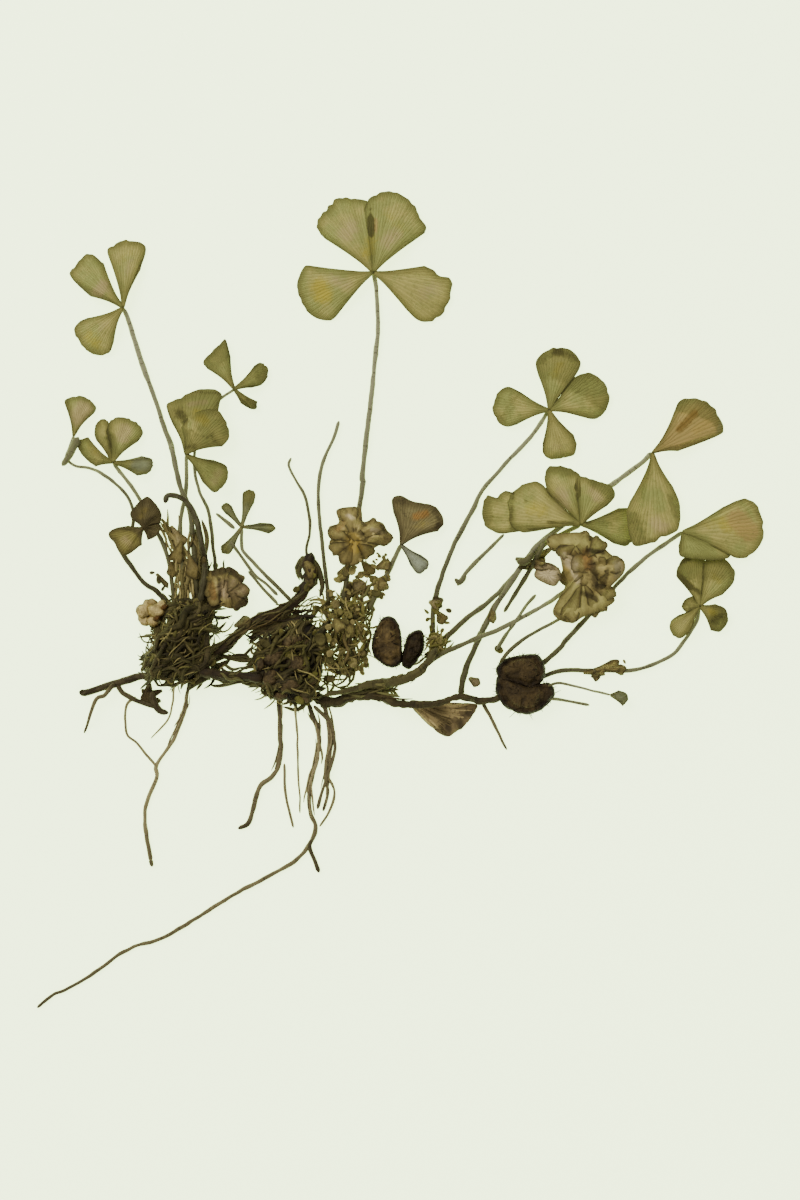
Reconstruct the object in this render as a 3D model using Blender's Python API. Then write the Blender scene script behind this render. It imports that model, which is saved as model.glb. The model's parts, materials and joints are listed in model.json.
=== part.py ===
"""A pressed and dried water clover: four-parted leaves on thin stems, a creeping rhizome with dark tufts at
its nodes, spore cases, buds and long roots, all lying flat.

The plant lies on z = 0 as it was pressed. +X and +Y lie in that surface, +Y towards the tallest leaf, and +Z is
up. The origin is under the middle of the plant's outline. The plan is in millimetres, and the scene in metres.
Each piece is laid on those laid before it, so a stem or leaf that crosses another passes over it.
"""

import math

import bmesh
import bpy
import numpy as np

# Driving dimensions, in millimetres
LEAF_THICKNESS = 0.24
DRY_LEAF_THICKNESS = 0.35
HUB_RADIUS = 0.42
STEM_DIAMETER = 0.58
FINE_STEM_DIAMETER = 0.42
ROOT_DIAMETER = 0.40
RHIZOME_DIAMETER = 1.05
BRANCH_DIAMETER = 0.80
TUFT_HEIGHT = 2.6
SMALL_TUFT_HEIGHT = 1.2
SPORE_CASE_HEIGHT = 1.7
BUD_HEIGHT = 1.5
BUD_SCALE_HEIGHT = 1.0
GAP = 0.30

# Width of a strand at its far end, as a share of its width where it starts
RHIZOME_TAPER = 0.85
ROOT_TAPER = 0.70
STEM_TAPER = 0.80

# How far a piece may climb for each millimetre that it runs
STEM_SLOPE = 0.40
LEAF_SLOPE = 0.30
PATH_SPACING = 2.0

# A leaflet narrows towards its hub, most where it meets it, and has a ring of points halfway out. The folds
# of a leaf fan out from its hub.
LEAF_WAIST = 0.82
HALFWAY = 0.52
FOLD_COUNT = 5
FOLD_HEIGHT = 0.10

# A crumpled leaf's middle ring: how far out it is, and how high it stands between ridges, on them, and at
# the edge
CRUMPLE_RING = 0.55
CRUMPLE_LEVELS = (0.45, 1.0, 0.25)

# The side of a lump as shares of its outline and of its height, from its underside up, and the unevenness
# of its top: the swell, and the two directions in which it waves
TUFT_PROFILE = [(0.90, 0.0), (1.0, 0.22), (0.90, 0.55), (0.68, 0.84), (0.36, 0.97)]
SMALL_PROFILE = [(0.86, 0.0), (1.0, 0.4), (0.78, 0.82), (0.4, 0.98)]
TUFT_SWELL = 0.10
SMALL_SWELL = 0.03
WAVES = ((2.3, 0.8), (1.1, -2.7))

MM = 0.001
SMOOTH_ANGLE = math.radians(50)

# Half of the square in which the height of the laid pieces is kept, its cell, and the finest sample of a
# triangle
BED_HALF = 40.0
BED_CELL = 0.1
SAMPLE_STEPS = 16
RUN_SAMPLES = 25
CURVE_STEPS = 12

OLIVE = (0.27, 0.25, 0.10)
GREY_OLIVE = (0.25, 0.25, 0.13)
GOLD_OLIVE = (0.32, 0.27, 0.08)
RUST = (0.36, 0.19, 0.05)
BROWN_LEAF = (0.13, 0.09, 0.04)
TAN_LEAF = (0.38, 0.30, 0.19)
STEM_GREEN = (0.28, 0.28, 0.19)
STEM_DARK = (0.10, 0.09, 0.04)
DARK_BROWN = (0.035, 0.025, 0.015)
TUFT_BROWN = (0.05, 0.036, 0.018)
BUD_BROWN = (0.13, 0.08, 0.035)
ROOT_BROWN = (0.12, 0.10, 0.06)
LEAF_ROUGHNESS = 0.75
STEM_ROUGHNESS = 0.7
CASE_ROUGHNESS = 0.5

# Each leaf: its hub, where its stem meets it, and its leaflets. A leaflet is the outer edge of its blade,
# read anticlockwise about the hub. Its two sides run straight in to the hub. Two leaflets overlap where the
# last point of one is the first point of the next.
LEAVES = {
    "leaf_top": dict(
        hub=(-2.4, 29.55),
        colour=OLIVE,
        leaflets=[
            [
                (0.6, 26.2), (1.6, 25.3), (2.7, 25.2), (3.7, 25.8), (4.4, 26.9), (4.7, 28.2), (4.5, 29.1),
                (2.9, 29.7), (2.2, 30.2),
            ],
            [
                (2.2, 33.1), (2.4, 33.8), (1.7, 34.7), (1.5, 35.4), (0.3, 36.5), (-1.0, 36.9), (-2.2, 36.6),
                (-3.0, 35.9),
            ],
            [
                (-3.0, 35.9), (-4.2, 36.0), (-5.1, 36.4), (-6.0, 36.0), (-6.8, 35.2), (-7.4, 34.2),
                (-7.3, 33.3), (-6.7, 32.6),
            ],
            [
                (-7.6, 30.1), (-8.6, 30.1), (-9.1, 29.1), (-9.3, 28.1), (-8.9, 27.0), (-8.1, 25.9),
                (-7.0, 25.3), (-6.0, 25.4), (-5.2, 26.3),
            ],
        ],
    ),
    "leaf_upper_left": dict(
        hub=(-24.85, 26.4),
        colour=OLIVE,
        leaflets=[
            [
                (-23.3, 29.8), (-22.9, 31.2), (-22.9, 31.9), (-23.7, 32.3), (-24.6, 32.5), (-25.5, 32.2),
                (-26.3, 31.6), (-26.1, 30.7),
            ],
            [
                (-26.6, 30.4), (-27.3, 31.0), (-28.0, 31.3), (-28.9, 30.6), (-29.5, 29.8), (-29.6, 29.2),
                (-28.7, 28.2), (-27.8, 27.4),
            ],
            [
                (-28.1, 25.5), (-28.9, 25.1), (-29.3, 24.3), (-28.8, 23.3), (-28.0, 22.5), (-27.0, 22.1),
                (-26.1, 22.4), (-25.7, 23.3),
            ],
        ],
    ),
    "leaf_left": dict(
        hub=(-25.8, 12.5),
        colour=OLIVE,
        leaflets=[
            [(-22.9, 11.7), (-22.3, 12.0), (-22.2, 12.7), (-22.8, 13.1)],
            [
                (-23.5, 14.4), (-23.1, 15.2), (-23.7, 16.1), (-25.0, 16.6), (-26.3, 16.5), (-27.2, 16.2),
                (-27.4, 15.3),
            ],
            [(-28.0, 14.8), (-28.9, 14.4), (-28.8, 13.6), (-28.2, 12.8), (-27.3, 12.1)],
        ],
    ),
    "leaf_far_left": dict(
        hub=(-29.3, 14.9),
        colour=GREY_OLIVE,
        leaflets=[
            [
                (-27.5, 16.9), (-27.3, 17.4), (-27.8, 18.1), (-28.8, 18.5), (-29.6, 18.4), (-30.1, 18.1),
                (-29.9, 17.2),
            ],
        ],
    ),
    "leaf_small_upper": dict(
        hub=(-14.9, 19.1),
        colour=GREY_OLIVE,
        leaflets=[
            [(-14.3, 17.8), (-13.4, 17.3), (-12.9, 17.4), (-12.8, 18.0)],
            [(-13.3, 19.2), (-12.4, 19.5), (-11.9, 20.2), (-11.9, 21.0), (-12.5, 21.5), (-13.1, 21.2)],
            [(-15.2, 22.0), (-15.7, 23.6), (-16.3, 23.0), (-17.2, 22.2), (-17.7, 21.5), (-17.3, 20.9)],
        ],
    ),
    "leaf_folded": dict(
        hub=(-19.2, 13.2),
        colour=GOLD_OLIVE,
        leaflets=[
            [(-17.7, 10.7), (-16.7, 9.8), (-16.0, 10.1), (-15.4, 11.2), (-15.6, 12.2), (-16.7, 12.7)],
            [
                (-15.9, 13.9), (-15.3, 14.8), (-15.5, 15.9), (-16.3, 17.1), (-16.0, 18.7), (-17.2, 19.1),
                (-18.5, 18.9),
                (-19.9, 18.2), (-20.9, 17.7), (-20.8, 16.9), (-20.4, 15.9),
            ],
        ],
    ),
    "leaf_lower_left": dict(
        hub=(-23.0, 6.6),
        colour=BROWN_LEAF,
        leaflets=[
            [
                (-21.5, 7.0), (-21.4, 7.9), (-22.0, 8.9), (-22.8, 9.4), (-23.5, 8.8), (-24.1, 8.1),
                (-24.0, 7.3),
            ],
            [
                (-24.3, 6.8), (-25.4, 6.6), (-26.1, 6.1), (-25.6, 5.2), (-24.7, 4.1), (-23.9, 4.5),
                (-23.1, 5.1),
            ],
        ],
    ),
    "leaf_star": dict(
        hub=(-14.2, 6.7),
        colour=GREY_OLIVE,
        leaflets=[
            [(-11.8, 6.1), (-11.2, 6.5), (-11.5, 7.0), (-12.6, 7.1)],
            [(-13.1, 8.9), (-13.0, 9.7), (-13.5, 10.1), (-14.1, 9.8), (-14.2, 8.9)],
            [(-15.1, 8.6), (-15.6, 8.9), (-16.1, 8.5), (-15.7, 7.9)],
            [(-16.1, 5.0), (-16.0, 4.4), (-15.3, 4.3), (-14.8, 5.0)],
        ],
    ),
    "leaf_brown": dict(
        hub=(0.1, 5.1),
        colour=BROWN_LEAF,
        leaflets=[
            [(0.9, 3.3), (1.6, 2.5), (2.4, 2.9), (2.6, 3.6), (1.9, 4.2)],
            [
                (3.4, 6.3), (3.9, 7.0), (3.7, 7.9), (2.9, 8.7), (1.2, 9.0), (0.1, 9.5), (-0.7, 9.2),
                (-0.6, 8.0),
            ],
        ],
    ),
    "leaf_right": dict(
        hub=(13.4, 17.2),
        colour=OLIVE,
        leaflets=[
            [
                (16.3, 16.6), (17.4, 16.4), (18.3, 16.9), (18.8, 17.9), (18.7, 19.0), (18.0, 20.1),
                (16.9, 20.6), (15.6, 20.1),
            ],
            [
                (15.6, 20.1), (16.2, 21.1), (16.0, 22.1), (15.1, 22.7), (14.0, 22.8), (12.9, 22.4),
                (12.2, 21.5), (12.4, 20.4),
            ],
            [
                (10.9, 18.8), (9.8, 19.3), (9.0, 19.0), (8.5, 18.2), (8.4, 17.2), (8.8, 16.2), (9.6, 15.7),
                (10.5, 15.9),
            ],
            [
                (12.8, 14.2), (12.9, 13.3), (13.6, 12.8), (14.6, 12.9), (15.5, 13.1), (15.9, 14.0),
                (15.6, 15.0),
            ],
        ],
    ),
    "leaf_middle": dict(
        hub=(16.2, 6.9),
        colour=GOLD_OLIVE,
        leaflets=[
            [(19.2, 5.2), (20.3, 5.0), (21.0, 5.6), (21.1, 7.0), (20.8, 8.3), (19.6, 8.4)],
            [
                (18.6, 8.6), (19.3, 9.5), (18.8, 10.4), (17.5, 10.8), (16.4, 11.2), (15.4, 11.9),
                (14.2, 12.2), (13.2, 12.0), (13.3, 10.9),
            ],
            [
                (12.8, 10.5), (11.8, 10.8), (10.5, 10.3), (9.4, 9.9), (8.6, 9.3), (7.8, 9.5), (7.4, 8.0),
                (7.7, 6.8), (8.8, 6.1), (10.5, 6.1), (12.2, 6.3),
            ],
        ],
    ),
    "leaf_rust": dict(
        hub=(22.7, 13.4),
        colour=RUST,
        leaflets=[
            [
                (25.0, 13.5), (26.8, 14.1), (28.6, 14.9), (29.1, 15.5), (28.7, 16.7), (27.9, 17.7),
                (26.6, 18.3), (25.2, 18.1), (24.6, 17.0),
            ],
            [
                (20.6, 9.0), (20.3, 8.0), (20.5, 6.4), (21.0, 5.0), (22.2, 5.1), (23.6, 5.8), (24.9, 6.5),
                (25.2, 7.7), (25.1, 9.0), (24.5, 10.4),
            ],
        ],
    ),
    "leaf_small_right": dict(
        hub=(26.9, -0.4),
        colour=GREY_OLIVE,
        leaflets=[
            [(28.4, -2.7), (29.1, -2.5), (29.5, -1.5), (29.2, -0.6), (28.3, -0.2)],
            [
                (29.0, 0.6), (30.0, 1.7), (30.1, 2.8), (29.4, 3.7), (28.0, 4.0), (26.5, 4.1), (25.4, 3.8),
                (24.9, 2.8), (24.9, 2.2),
            ],
            [(26.2, 0.3), (25.6, -0.1), (25.6, -0.8)],
            [(25.0, -1.2), (24.3, -1.8), (24.3, -2.7), (25.0, -3.3), (25.8, -2.9), (26.3, -2.2)],
        ],
    ),
    "leaf_far_right": dict(
        hub=(25.4, 6.3),
        colour=GOLD_OLIVE,
        leaflets=[
            [(25.4, 4.1), (26.6, 3.8), (28.0, 3.8), (29.4, 4.2)],
            [
                (29.4, 4.2), (31.0, 3.9), (31.9, 4.5), (32.5, 5.4), (32.7, 6.8), (32.4, 8.1), (31.6, 9.1),
                (30.6, 9.2), (29.0, 8.5),
            ],
        ],
    ),
    "leaf_tiny": dict(
        hub=(18.9, -8.4),
        colour=GREY_OLIVE,
        leaflets=[[(20.0, -9.4), (20.5, -8.8), (20.3, -8.2), (19.6, -8.0)]],
    ),
}

# Crumpled dry leaves: a middle, an outline read anticlockwise, and how high the crumple stands
CRUMPLED = {
    "dry_leaf_centre": dict(
        hub=(-4.0, 5.9),
        colour=BROWN_LEAF,
        height=0.55,
        outline=[
            (-0.8, 5.7), (-1.2, 6.5), (-1.6, 7.1), (-2.6, 7.3), (-3.3, 7.2), (-3.5, 8.3), (-4.5, 8.5),
            (-5.7, 8.2), (-5.5, 7.1),
            (-6.4, 6.7), (-6.1, 5.9), (-6.3, 5.0), (-5.6, 4.1), (-4.8, 3.4), (-3.8, 3.4), (-3.2, 4.2),
            (-2.1, 4.9),
        ],
    ),
    "dry_leaf_right": dict(
        hub=(16.6, 3.2),
        colour=BROWN_LEAF,
        height=0.55,
        outline=[
            (20.1, 2.6), (20.0, 3.8), (19.0, 4.2), (18.2, 5.0), (17.3, 5.8), (16.1, 6.2), (14.6, 6.1),
            (13.3, 5.8), (13.2, 5.0),
            (14.2, 4.2), (14.6, 2.6), (14.8, 1.4), (14.2, 0.3), (13.7, -0.8), (14.4, -1.7), (15.6, -1.9),
            (16.4, -1.4),
            (18.0, -0.8), (19.3, 0.1), (18.7, 1.0), (19.4, 1.8),
        ],
    ),
    "dry_leaf_tan": dict(
        hub=(13.4, 2.5),
        colour=TAN_LEAF,
        height=0.2,
        outline=[(14.4, 2.6), (13.6, 3.4), (12.6, 3.4), (12.0, 2.4), (12.6, 1.8), (13.9, 1.4)],
    ),
    "dry_leaf_left": dict(
        hub=(-15.6, 1.4),
        colour=BROWN_LEAF,
        height=0.45,
        outline=[
            (-13.6, 0.2), (-14.3, 1.9), (-15.3, 3.0), (-16.7, 2.7), (-17.0, 1.4), (-16.9, 0.2),
            (-15.4, -0.6), (-14.0, -0.5),
        ],
    ),
}

# Lumps with a flat underside: the tufts at the rhizome's nodes, the spore cases and the buds
LUMPS = {
    "tuft_left": dict(
        hub=(-19.6, -4.2),
        colour=TUFT_BROWN,
        height=TUFT_HEIGHT,
        outline=[
            (-16.8, -3.4), (-16.4, -1.3), (-17.2, 0.0), (-18.6, 0.3), (-20.4, 0.0), (-21.0, -1.2),
            (-21.6, -2.5), (-22.8, -3.5),
            (-22.6, -5.0), (-22.8, -6.3), (-22.4, -7.4), (-21.5, -7.2), (-20.4, -7.6), (-19.4, -7.9),
            (-18.4, -7.3), (-17.2, -6.8),
            (-16.7, -5.5),
        ],
    ),
    "tuft_middle": dict(
        hub=(-8.3, -5.1),
        colour=TUFT_BROWN,
        height=TUFT_HEIGHT,
        outline=[
            (-3.2, -4.1), (-3.1, -2.3), (-2.9, -0.7), (-3.9, 0.1), (-6.0, 0.0), (-7.4, -1.0), (-9.5, -2.0),
            (-12.0, -2.9),
            (-13.3, -4.0), (-13.1, -5.4), (-13.1, -7.2), (-12.5, -8.5), (-11.2, -8.9), (-10.0, -9.6),
            (-8.7, -9.7), (-7.7, -9.1),
            (-6.5, -7.7), (-4.8, -7.0), (-3.5, -5.7),
        ],
    ),
    "spore_case_left": dict(
        hub=(-1.25, -3.6),
        colour=DARK_BROWN,
        height=SPORE_CASE_HEIGHT,
        outline=[
            (-0.15, -3.4), (-0.3, -2.2), (-0.7, -1.4), (-1.4, -1.4), (-2.1, -2.5), (-2.5, -3.7),
            (-2.3, -4.9), (-1.5, -5.6),
            (-0.7, -5.9), (-0.25, -4.8),
        ],
    ),
    "spore_case_right": dict(
        hub=(1.35, -4.0),
        colour=DARK_BROWN,
        height=SPORE_CASE_HEIGHT,
        outline=[
            (2.2, -3.5), (2.0, -2.7), (1.3, -2.6), (0.75, -3.2), (0.5, -4.2), (0.3, -5.3), (1.0, -5.7),
            (1.7, -5.0), (2.1, -4.3),
        ],
    ),
    "spore_case_upper": dict(
        hub=(10.8, -5.9),
        colour=DARK_BROWN,
        height=SPORE_CASE_HEIGHT,
        outline=[
            (12.9, -5.4), (12.2, -4.7), (11.0, -4.8), (9.6, -5.1), (8.7, -5.8), (9.2, -6.3), (10.4, -6.8),
            (12.0, -7.4), (12.7, -6.4),
        ],
    ),
    "spore_case_lower": dict(
        hub=(10.9, -8.5),
        colour=DARK_BROWN,
        height=SPORE_CASE_HEIGHT,
        outline=[
            (13.4, -9.1), (13.9, -8.3), (13.4, -7.7), (12.0, -7.9), (10.4, -7.3), (9.1, -6.8), (8.7, -8.0),
            (9.4, -9.4), (11.0, -10.1),
            (12.4, -9.9),
        ],
    ),
    "tuft_right": dict(
        hub=(3.2, -3.9),
        colour=BUD_BROWN,
        height=SMALL_TUFT_HEIGHT,
        outline=[
            (4.0, -3.8), (3.8, -3.2), (3.2, -3.0), (2.7, -3.4), (2.6, -4.0), (2.8, -4.6), (3.4, -4.7),
            (3.9, -4.4),
        ],
    ),
    "bud_left": dict(
        hub=(-22.75, -1.0),
        colour=TAN_LEAF,
        height=BUD_HEIGHT,
        outline=[
            (-21.7, -0.9), (-21.9, -0.1), (-22.7, 0.3), (-23.5, -0.2), (-23.9, -1.1), (-23.4, -2.1),
            (-22.6, -2.2), (-22.0, -1.7),
        ],
    ),
    "bud_scale": dict(
        hub=(3.6, -10.7),
        colour=BUD_BROWN,
        height=BUD_SCALE_HEIGHT,
        outline=[
            (5.3, -10.6), (5.5, -9.9), (3.6, -9.9), (1.6, -10.3), (2.1, -11.0), (3.2, -11.7), (4.3, -12.2),
            (4.9, -11.6),
        ],
    ),
}

# Rounded pieces along a path: the rhizome first, then the roots, then the stems from the lowest to the
# topmost
RHIZOME = {
    "rhizome_upper": [
        (-15.6, -3.9), (-14.4, -2.8), (-12.8, -1.6), (-10.6, -0.8), (-9.1, 0.4), (-8.2, 1.9), (-8.3, 3.5),
    ],
    "rhizome_lower": [(-16.0, -6.6), (-15.0, -6.7), (-14.0, -6.6)],
    "rhizome_right": [
        (-5.8, -9.0), (-4.6, -8.6), (-3.0, -8.5), (-1.5, -8.7), (0.0, -9.2), (1.3, -9.3), (3.3, -9.1),
        (5.2, -8.5),
        (6.4, -8.8), (7.4, -8.9),
    ],
    "rhizome_branch": [(-2.3, -7.2), (-0.8, -7.2), (0.6, -6.8), (1.6, -6.3), (2.2, -5.8)],
}

ROOTS = {
    "root_left": [(-23.5, -6.8), (-25.0, -7.2), (-26.5, -7.6), (-28.5, -8.2)],
    "root_left_fork": [(-26.5, -8.4), (-27.3, -9.0), (-28.0, -10.5), (-28.4, -11.8)],
    "root_left_down": [
        (-19.2, -8.6), (-19.3, -9.6), (-19.7, -10.7), (-20.3, -12.2), (-21.2, -13.5), (-21.9, -14.7),
        (-21.9, -15.8), (-22.3, -17.0),
        (-22.9, -18.4), (-22.9, -20.0), (-22.7, -21.6), (-22.4, -23.3),
    ],
    "root_middle_left": [
        (-10.9, -10.3), (-10.8, -12.0), (-10.8, -14.4), (-11.4, -15.7), (-12.6, -16.8), (-13.1, -18.2),
        (-13.5, -19.7), (-14.5, -20.4),
    ],
    "root_middle": [
        (-7.7, -10.5), (-7.3, -11.8), (-7.4, -13.5), (-7.9, -15.5), (-8.2, -17.2), (-8.1, -18.8),
        (-7.6, -20.2), (-8.0, -21.6),
        (-9.2, -23.2), (-10.8, -24.2), (-12.8, -25.2), (-15.0, -26.4), (-17.5, -27.9), (-20.0, -29.5),
        (-21.8, -30.4),
        (-23.8, -31.0), (-25.4, -31.8), (-27.0, -33.1), (-28.5, -34.0), (-30.0, -34.9), (-31.2, -35.4),
        (-32.6, -36.5),
    ],
    "root_middle_right": [
        (-6.6, -10.3), (-6.4, -11.5), (-6.3, -12.8), (-6.6, -14.4), (-6.7, -15.8), (-6.5, -17.2),
        (-6.9, -18.8),
    ],
    "root_right": [(8.0, -10.1), (8.4, -11.0), (9.2, -12.5), (9.6, -13.3)],
}

STEMS = {
    "stem_left": [
        (-25.6, 12.1), (-24.8, 11.2), (-24.0, 10.1), (-23.2, 8.9), (-22.4, 7.4), (-21.6, 5.8), (-20.9, 4.0),
        (-20.6, 2.4), (-20.4, 1.0),
    ],
    "stem_far_left": [
        (-29.3, 14.7), (-29.8, 13.7), (-30.0, 12.9), (-29.2, 12.2), (-27.8, 12.0), (-26.4, 11.3),
        (-25.2, 10.3), (-24.2, 8.9),
        (-23.9, 7.4), (-24.2, 6.2),
    ],
    "stem_lower_left": [(-25.3, 4.7), (-24.4, 3.6), (-23.5, 2.2), (-22.7, 1.4), (-22.0, 1.0)],
    "stem_folded": [
        (-19.2, 12.9), (-19.2, 11.5), (-19.3, 9.8), (-19.6, 8.2), (-19.8, 6.4), (-19.7, 4.4), (-19.5, 2.6),
        (-19.4, 1.1),
    ],
    "stem_small_upper": [
        (-15.1, 18.9), (-16.4, 18.0), (-17.4, 16.8), (-18.1, 15.2), (-18.4, 13.4), (-18.4, 11.6),
        (-18.0, 9.9), (-17.3, 8.3), (-16.9, 6.5), (-16.8, 4.8), (-16.6, 3.7),
    ],
    "stem_upper_left": [
        (-24.7, 26.1), (-24.3, 25.0), (-23.7, 23.0), (-23.2, 21.5), (-22.6, 20.0), (-21.9, 18.0),
        (-21.2, 16.0), (-20.6, 14.0),
        (-20.1, 12.0), (-19.7, 10.3), (-19.0, 8.6), (-18.7, 7.0), (-18.6, 5.4), (-18.5, 3.8), (-18.4, 2.2),
        (-18.3, 1.1),
    ],
    "stem_hooked": [
        (-21.0, 8.9), (-20.7, 9.5), (-20.1, 9.5), (-19.4, 9.2), (-18.6, 8.2), (-18.0, 6.6), (-17.7, 5.0),
        (-17.5, 3.4),
    ],
    "stem_star": [(-14.3, 6.2), (-14.2, 5.0), (-13.6, 4.0), (-12.5, 2.8), (-11.3, 1.7), (-10.4, 0.8)],
    "stem_bare_short": [
        (-9.8, 12.9), (-10.0, 12.2), (-9.3, 10.8), (-8.5, 9.3), (-8.2, 8.0), (-8.1, 6.8), (-8.2, 5.8),
        (-8.4, 4.8),
    ],
    "stem_bare_tall": [
        (-5.5, 16.2), (-6.0, 14.6), (-6.9, 12.6), (-7.3, 10.6), (-7.3, 9.0), (-7.2, 7.4), (-7.0, 5.4),
        (-6.7, 3.2), (-6.5, 0.9),
    ],
    "stem_top": [
        (-2.3, 29.2), (-2.05, 27.5), (-2.0, 25.5), (-2.1, 23.0), (-2.4, 20.0), (-2.7, 18.0), (-2.9, 16.0),
        (-3.1, 14.0),
        (-3.3, 12.0), (-3.4, 10.0), (-3.7, 8.5), (-4.0, 6.6), (-4.3, 4.6), (-4.7, 2.6), (-5.0, 0.9),
    ],
    "stem_brown": [(0.1, 4.9), (-0.5, 4.0), (-1.0, 2.8), (-1.7, 1.4), (-2.2, 0.4)],
    "stem_right": [
        (13.1, 16.9), (12.7, 16.0), (11.8, 14.8), (10.7, 13.7), (9.3, 12.2), (8.0, 10.7), (7.3, 9.8),
        (6.7, 8.5), (5.8, 7.0),
        (5.0, 5.4), (4.3, 3.5), (3.7, 2.0), (3.2, 0.5), (2.9, -0.9), (2.9, -2.3),
    ],
    "stem_middle": [
        (16.0, 6.6), (14.4, 6.0), (12.8, 5.0), (11.3, 3.5), (10.0, 2.0), (8.8, 0.7), (7.4, -0.4),
        (6.0, -1.5), (4.6, -2.8),
    ],
    "stem_rust": [
        (22.5, 13.2), (21.4, 12.2), (19.9, 11.0), (18.6, 10.1), (16.9, 8.9), (15.0, 7.2), (13.0, 5.6),
        (11.6, 4.1), (10.4, 2.4),
        (9.4, 0.8), (8.3, -0.9), (7.3, -2.8), (6.4, -4.8), (5.9, -6.2), (5.6, -7.3),
    ],
    "stem_dry_leaf": [
        (14.2, 0.5), (13.0, -0.3), (11.0, -1.4), (9.0, -2.4), (7.0, -3.2), (5.9, -3.7), (4.8, -4.2),
    ],
    "stem_dry_leaf_low": [(14.6, -1.4), (13.0, -2.3), (11.2, -3.3), (9.8, -4.4)],
    "stem_far_right": [
        (25.2, 6.1), (24.0, 5.3), (22.5, 4.2), (21.0, 3.0), (19.4, 1.4), (17.8, -0.4), (16.4, -1.9),
        (15.4, -3.0), (14.5, -4.1), (13.7, -4.9),
    ],
    "stem_small_right": [
        (26.9, -0.8), (26.6, -1.9), (26.0, -2.9), (25.2, -4.0), (24.1, -5.0), (22.8, -5.7), (21.3, -6.1),
        (19.6, -6.2), (17.8, -6.2),
        (16.0, -6.1), (14.6, -6.2), (13.6, -6.5),
    ],
    "stem_tiny": [(18.7, -8.4), (17.2, -8.0), (15.6, -7.6), (14.2, -7.3)],
}
FINE_STEMS = {
    "stem_bare_short", "stem_star", "stem_dry_leaf_low", "stem_tiny", "stem_far_left", "stem_small_upper",
}
DARK_STEMS = {"stem_hooked", "stem_lower_left"}


class Bed:
    """The surface on which the plant lies: the height of the highest piece laid on each small square."""

    def __init__(self):
        self.count = round(2 * BED_HALF / BED_CELL)
        self.top = np.zeros((self.count, self.count))

    def cells(self, xy):
        index = np.floor((xy + BED_HALF) / BED_CELL).astype(int)
        return np.clip(index, 0, self.count - 1)

    def spread(self, reach):
        """The height of the highest piece within reach of each square."""
        steps = math.ceil(reach / BED_CELL)
        high = self.top
        for axis in (0, 1):
            spread = high.copy()
            for shift in range(1, steps + 1):
                np.maximum(spread, np.roll(high, shift, axis), out=spread)
                np.maximum(spread, np.roll(high, -shift, axis), out=spread)
            high = spread
        return high

    def height(self, xy, reach):
        index = self.cells(xy)
        return self.spread(reach)[index[:, 0], index[:, 1]]

    def lay(self, piece):
        """Raises the squares under a finished piece to its top."""
        evaluated = piece.evaluated_get(bpy.context.evaluated_depsgraph_get())
        mesh = evaluated.to_mesh()
        mesh.calc_loop_triangles()
        points = np.empty(len(mesh.vertices) * 3)
        mesh.vertices.foreach_get("co", points)
        corners = np.empty(len(mesh.loop_triangles) * 3, dtype=int)
        mesh.loop_triangles.foreach_get("vertices", corners)
        samples = samples_of(points.reshape(-1, 3)[corners.reshape(-1, 3)] / MM).reshape(-1, 3)
        evaluated.to_mesh_clear()
        index = self.cells(samples[:, :2])
        np.maximum.at(self.top, (index[:, 0], index[:, 1]), samples[:, 2])


def samples_of(triangles):
    """Points spread evenly over each triangle, as an array of triangle, sample and coordinate."""
    weights = [
        (i / SAMPLE_STEPS, j / SAMPLE_STEPS, (SAMPLE_STEPS - i - j) / SAMPLE_STEPS)
        for i in range(SAMPLE_STEPS + 1)
        for j in range(SAMPLE_STEPS + 1 - i)
    ]
    return np.einsum("sw,twc->tsc", np.array(weights), triangles)


def eased(points, heights, slope):
    """The lowest heights, nowhere under the given ones, that change by no more than slope along any line."""
    apart = np.linalg.norm(points[:, None] - points[None, :], axis=2)
    return np.max(heights[None, :] - slope * apart, axis=1)


def finish(piece, colour, roughness):
    material = bpy.data.materials.new(piece.name)
    material.use_nodes = True
    shader = material.node_tree.nodes["Principled BSDF"]
    shader.inputs["Base Color"].default_value = (*colour, 1.0)
    shader.inputs["Roughness"].default_value = roughness
    shader.inputs["Metallic"].default_value = 0.0
    piece.data.materials.append(material)


def add_mesh(name, mesh_data):
    mesh = bpy.data.meshes.new(name)
    mesh_data.to_mesh(mesh)
    mesh_data.free()
    piece = bpy.data.objects.new(name, mesh)
    bpy.context.collection.objects.link(piece)
    mesh.shade_smooth()
    mesh.set_sharp_from_angle(angle=SMOOTH_ANGLE)
    return piece


def turned_towards(hub, points, middle, share, factor):
    """Points at a share of the way from the hub, turned towards the middle angle, which gives a waist."""
    away = points - hub
    angle = np.arctan2(away[:, 1], away[:, 0])
    radius = np.linalg.norm(away, axis=1) * share
    offset = (angle - middle + math.pi) % (2 * math.pi) - math.pi
    angle = middle + offset * factor
    return hub + radius[:, None] * np.stack((np.cos(angle), np.sin(angle)), axis=1)


def rounded(points):
    """The points with one more between each two, on a smooth curve through them."""
    points = np.array(points, dtype=float)
    ends = np.vstack((2 * points[0] - points[1], points, 2 * points[-1] - points[-2]))
    between = (9 * (ends[1:-2] + ends[2:-1]) - ends[:-3] - ends[3:]) / 16
    curve = np.empty((2 * len(points) - 1, 2))
    curve[0::2], curve[1::2] = points, between
    return curve


def joined_leaflets(leaflets):
    """The leaflets' edges in order about the hub, with those that overlap joined into one edge."""
    edges = []
    for leaflet in leaflets:
        edge = rounded(leaflet)
        if edges and np.allclose(edges[-1][-1], edge[0]):
            edges[-1] = np.vstack((edges[-1], edge[1:]))
        else:
            edges.append(edge)
    return edges


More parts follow.
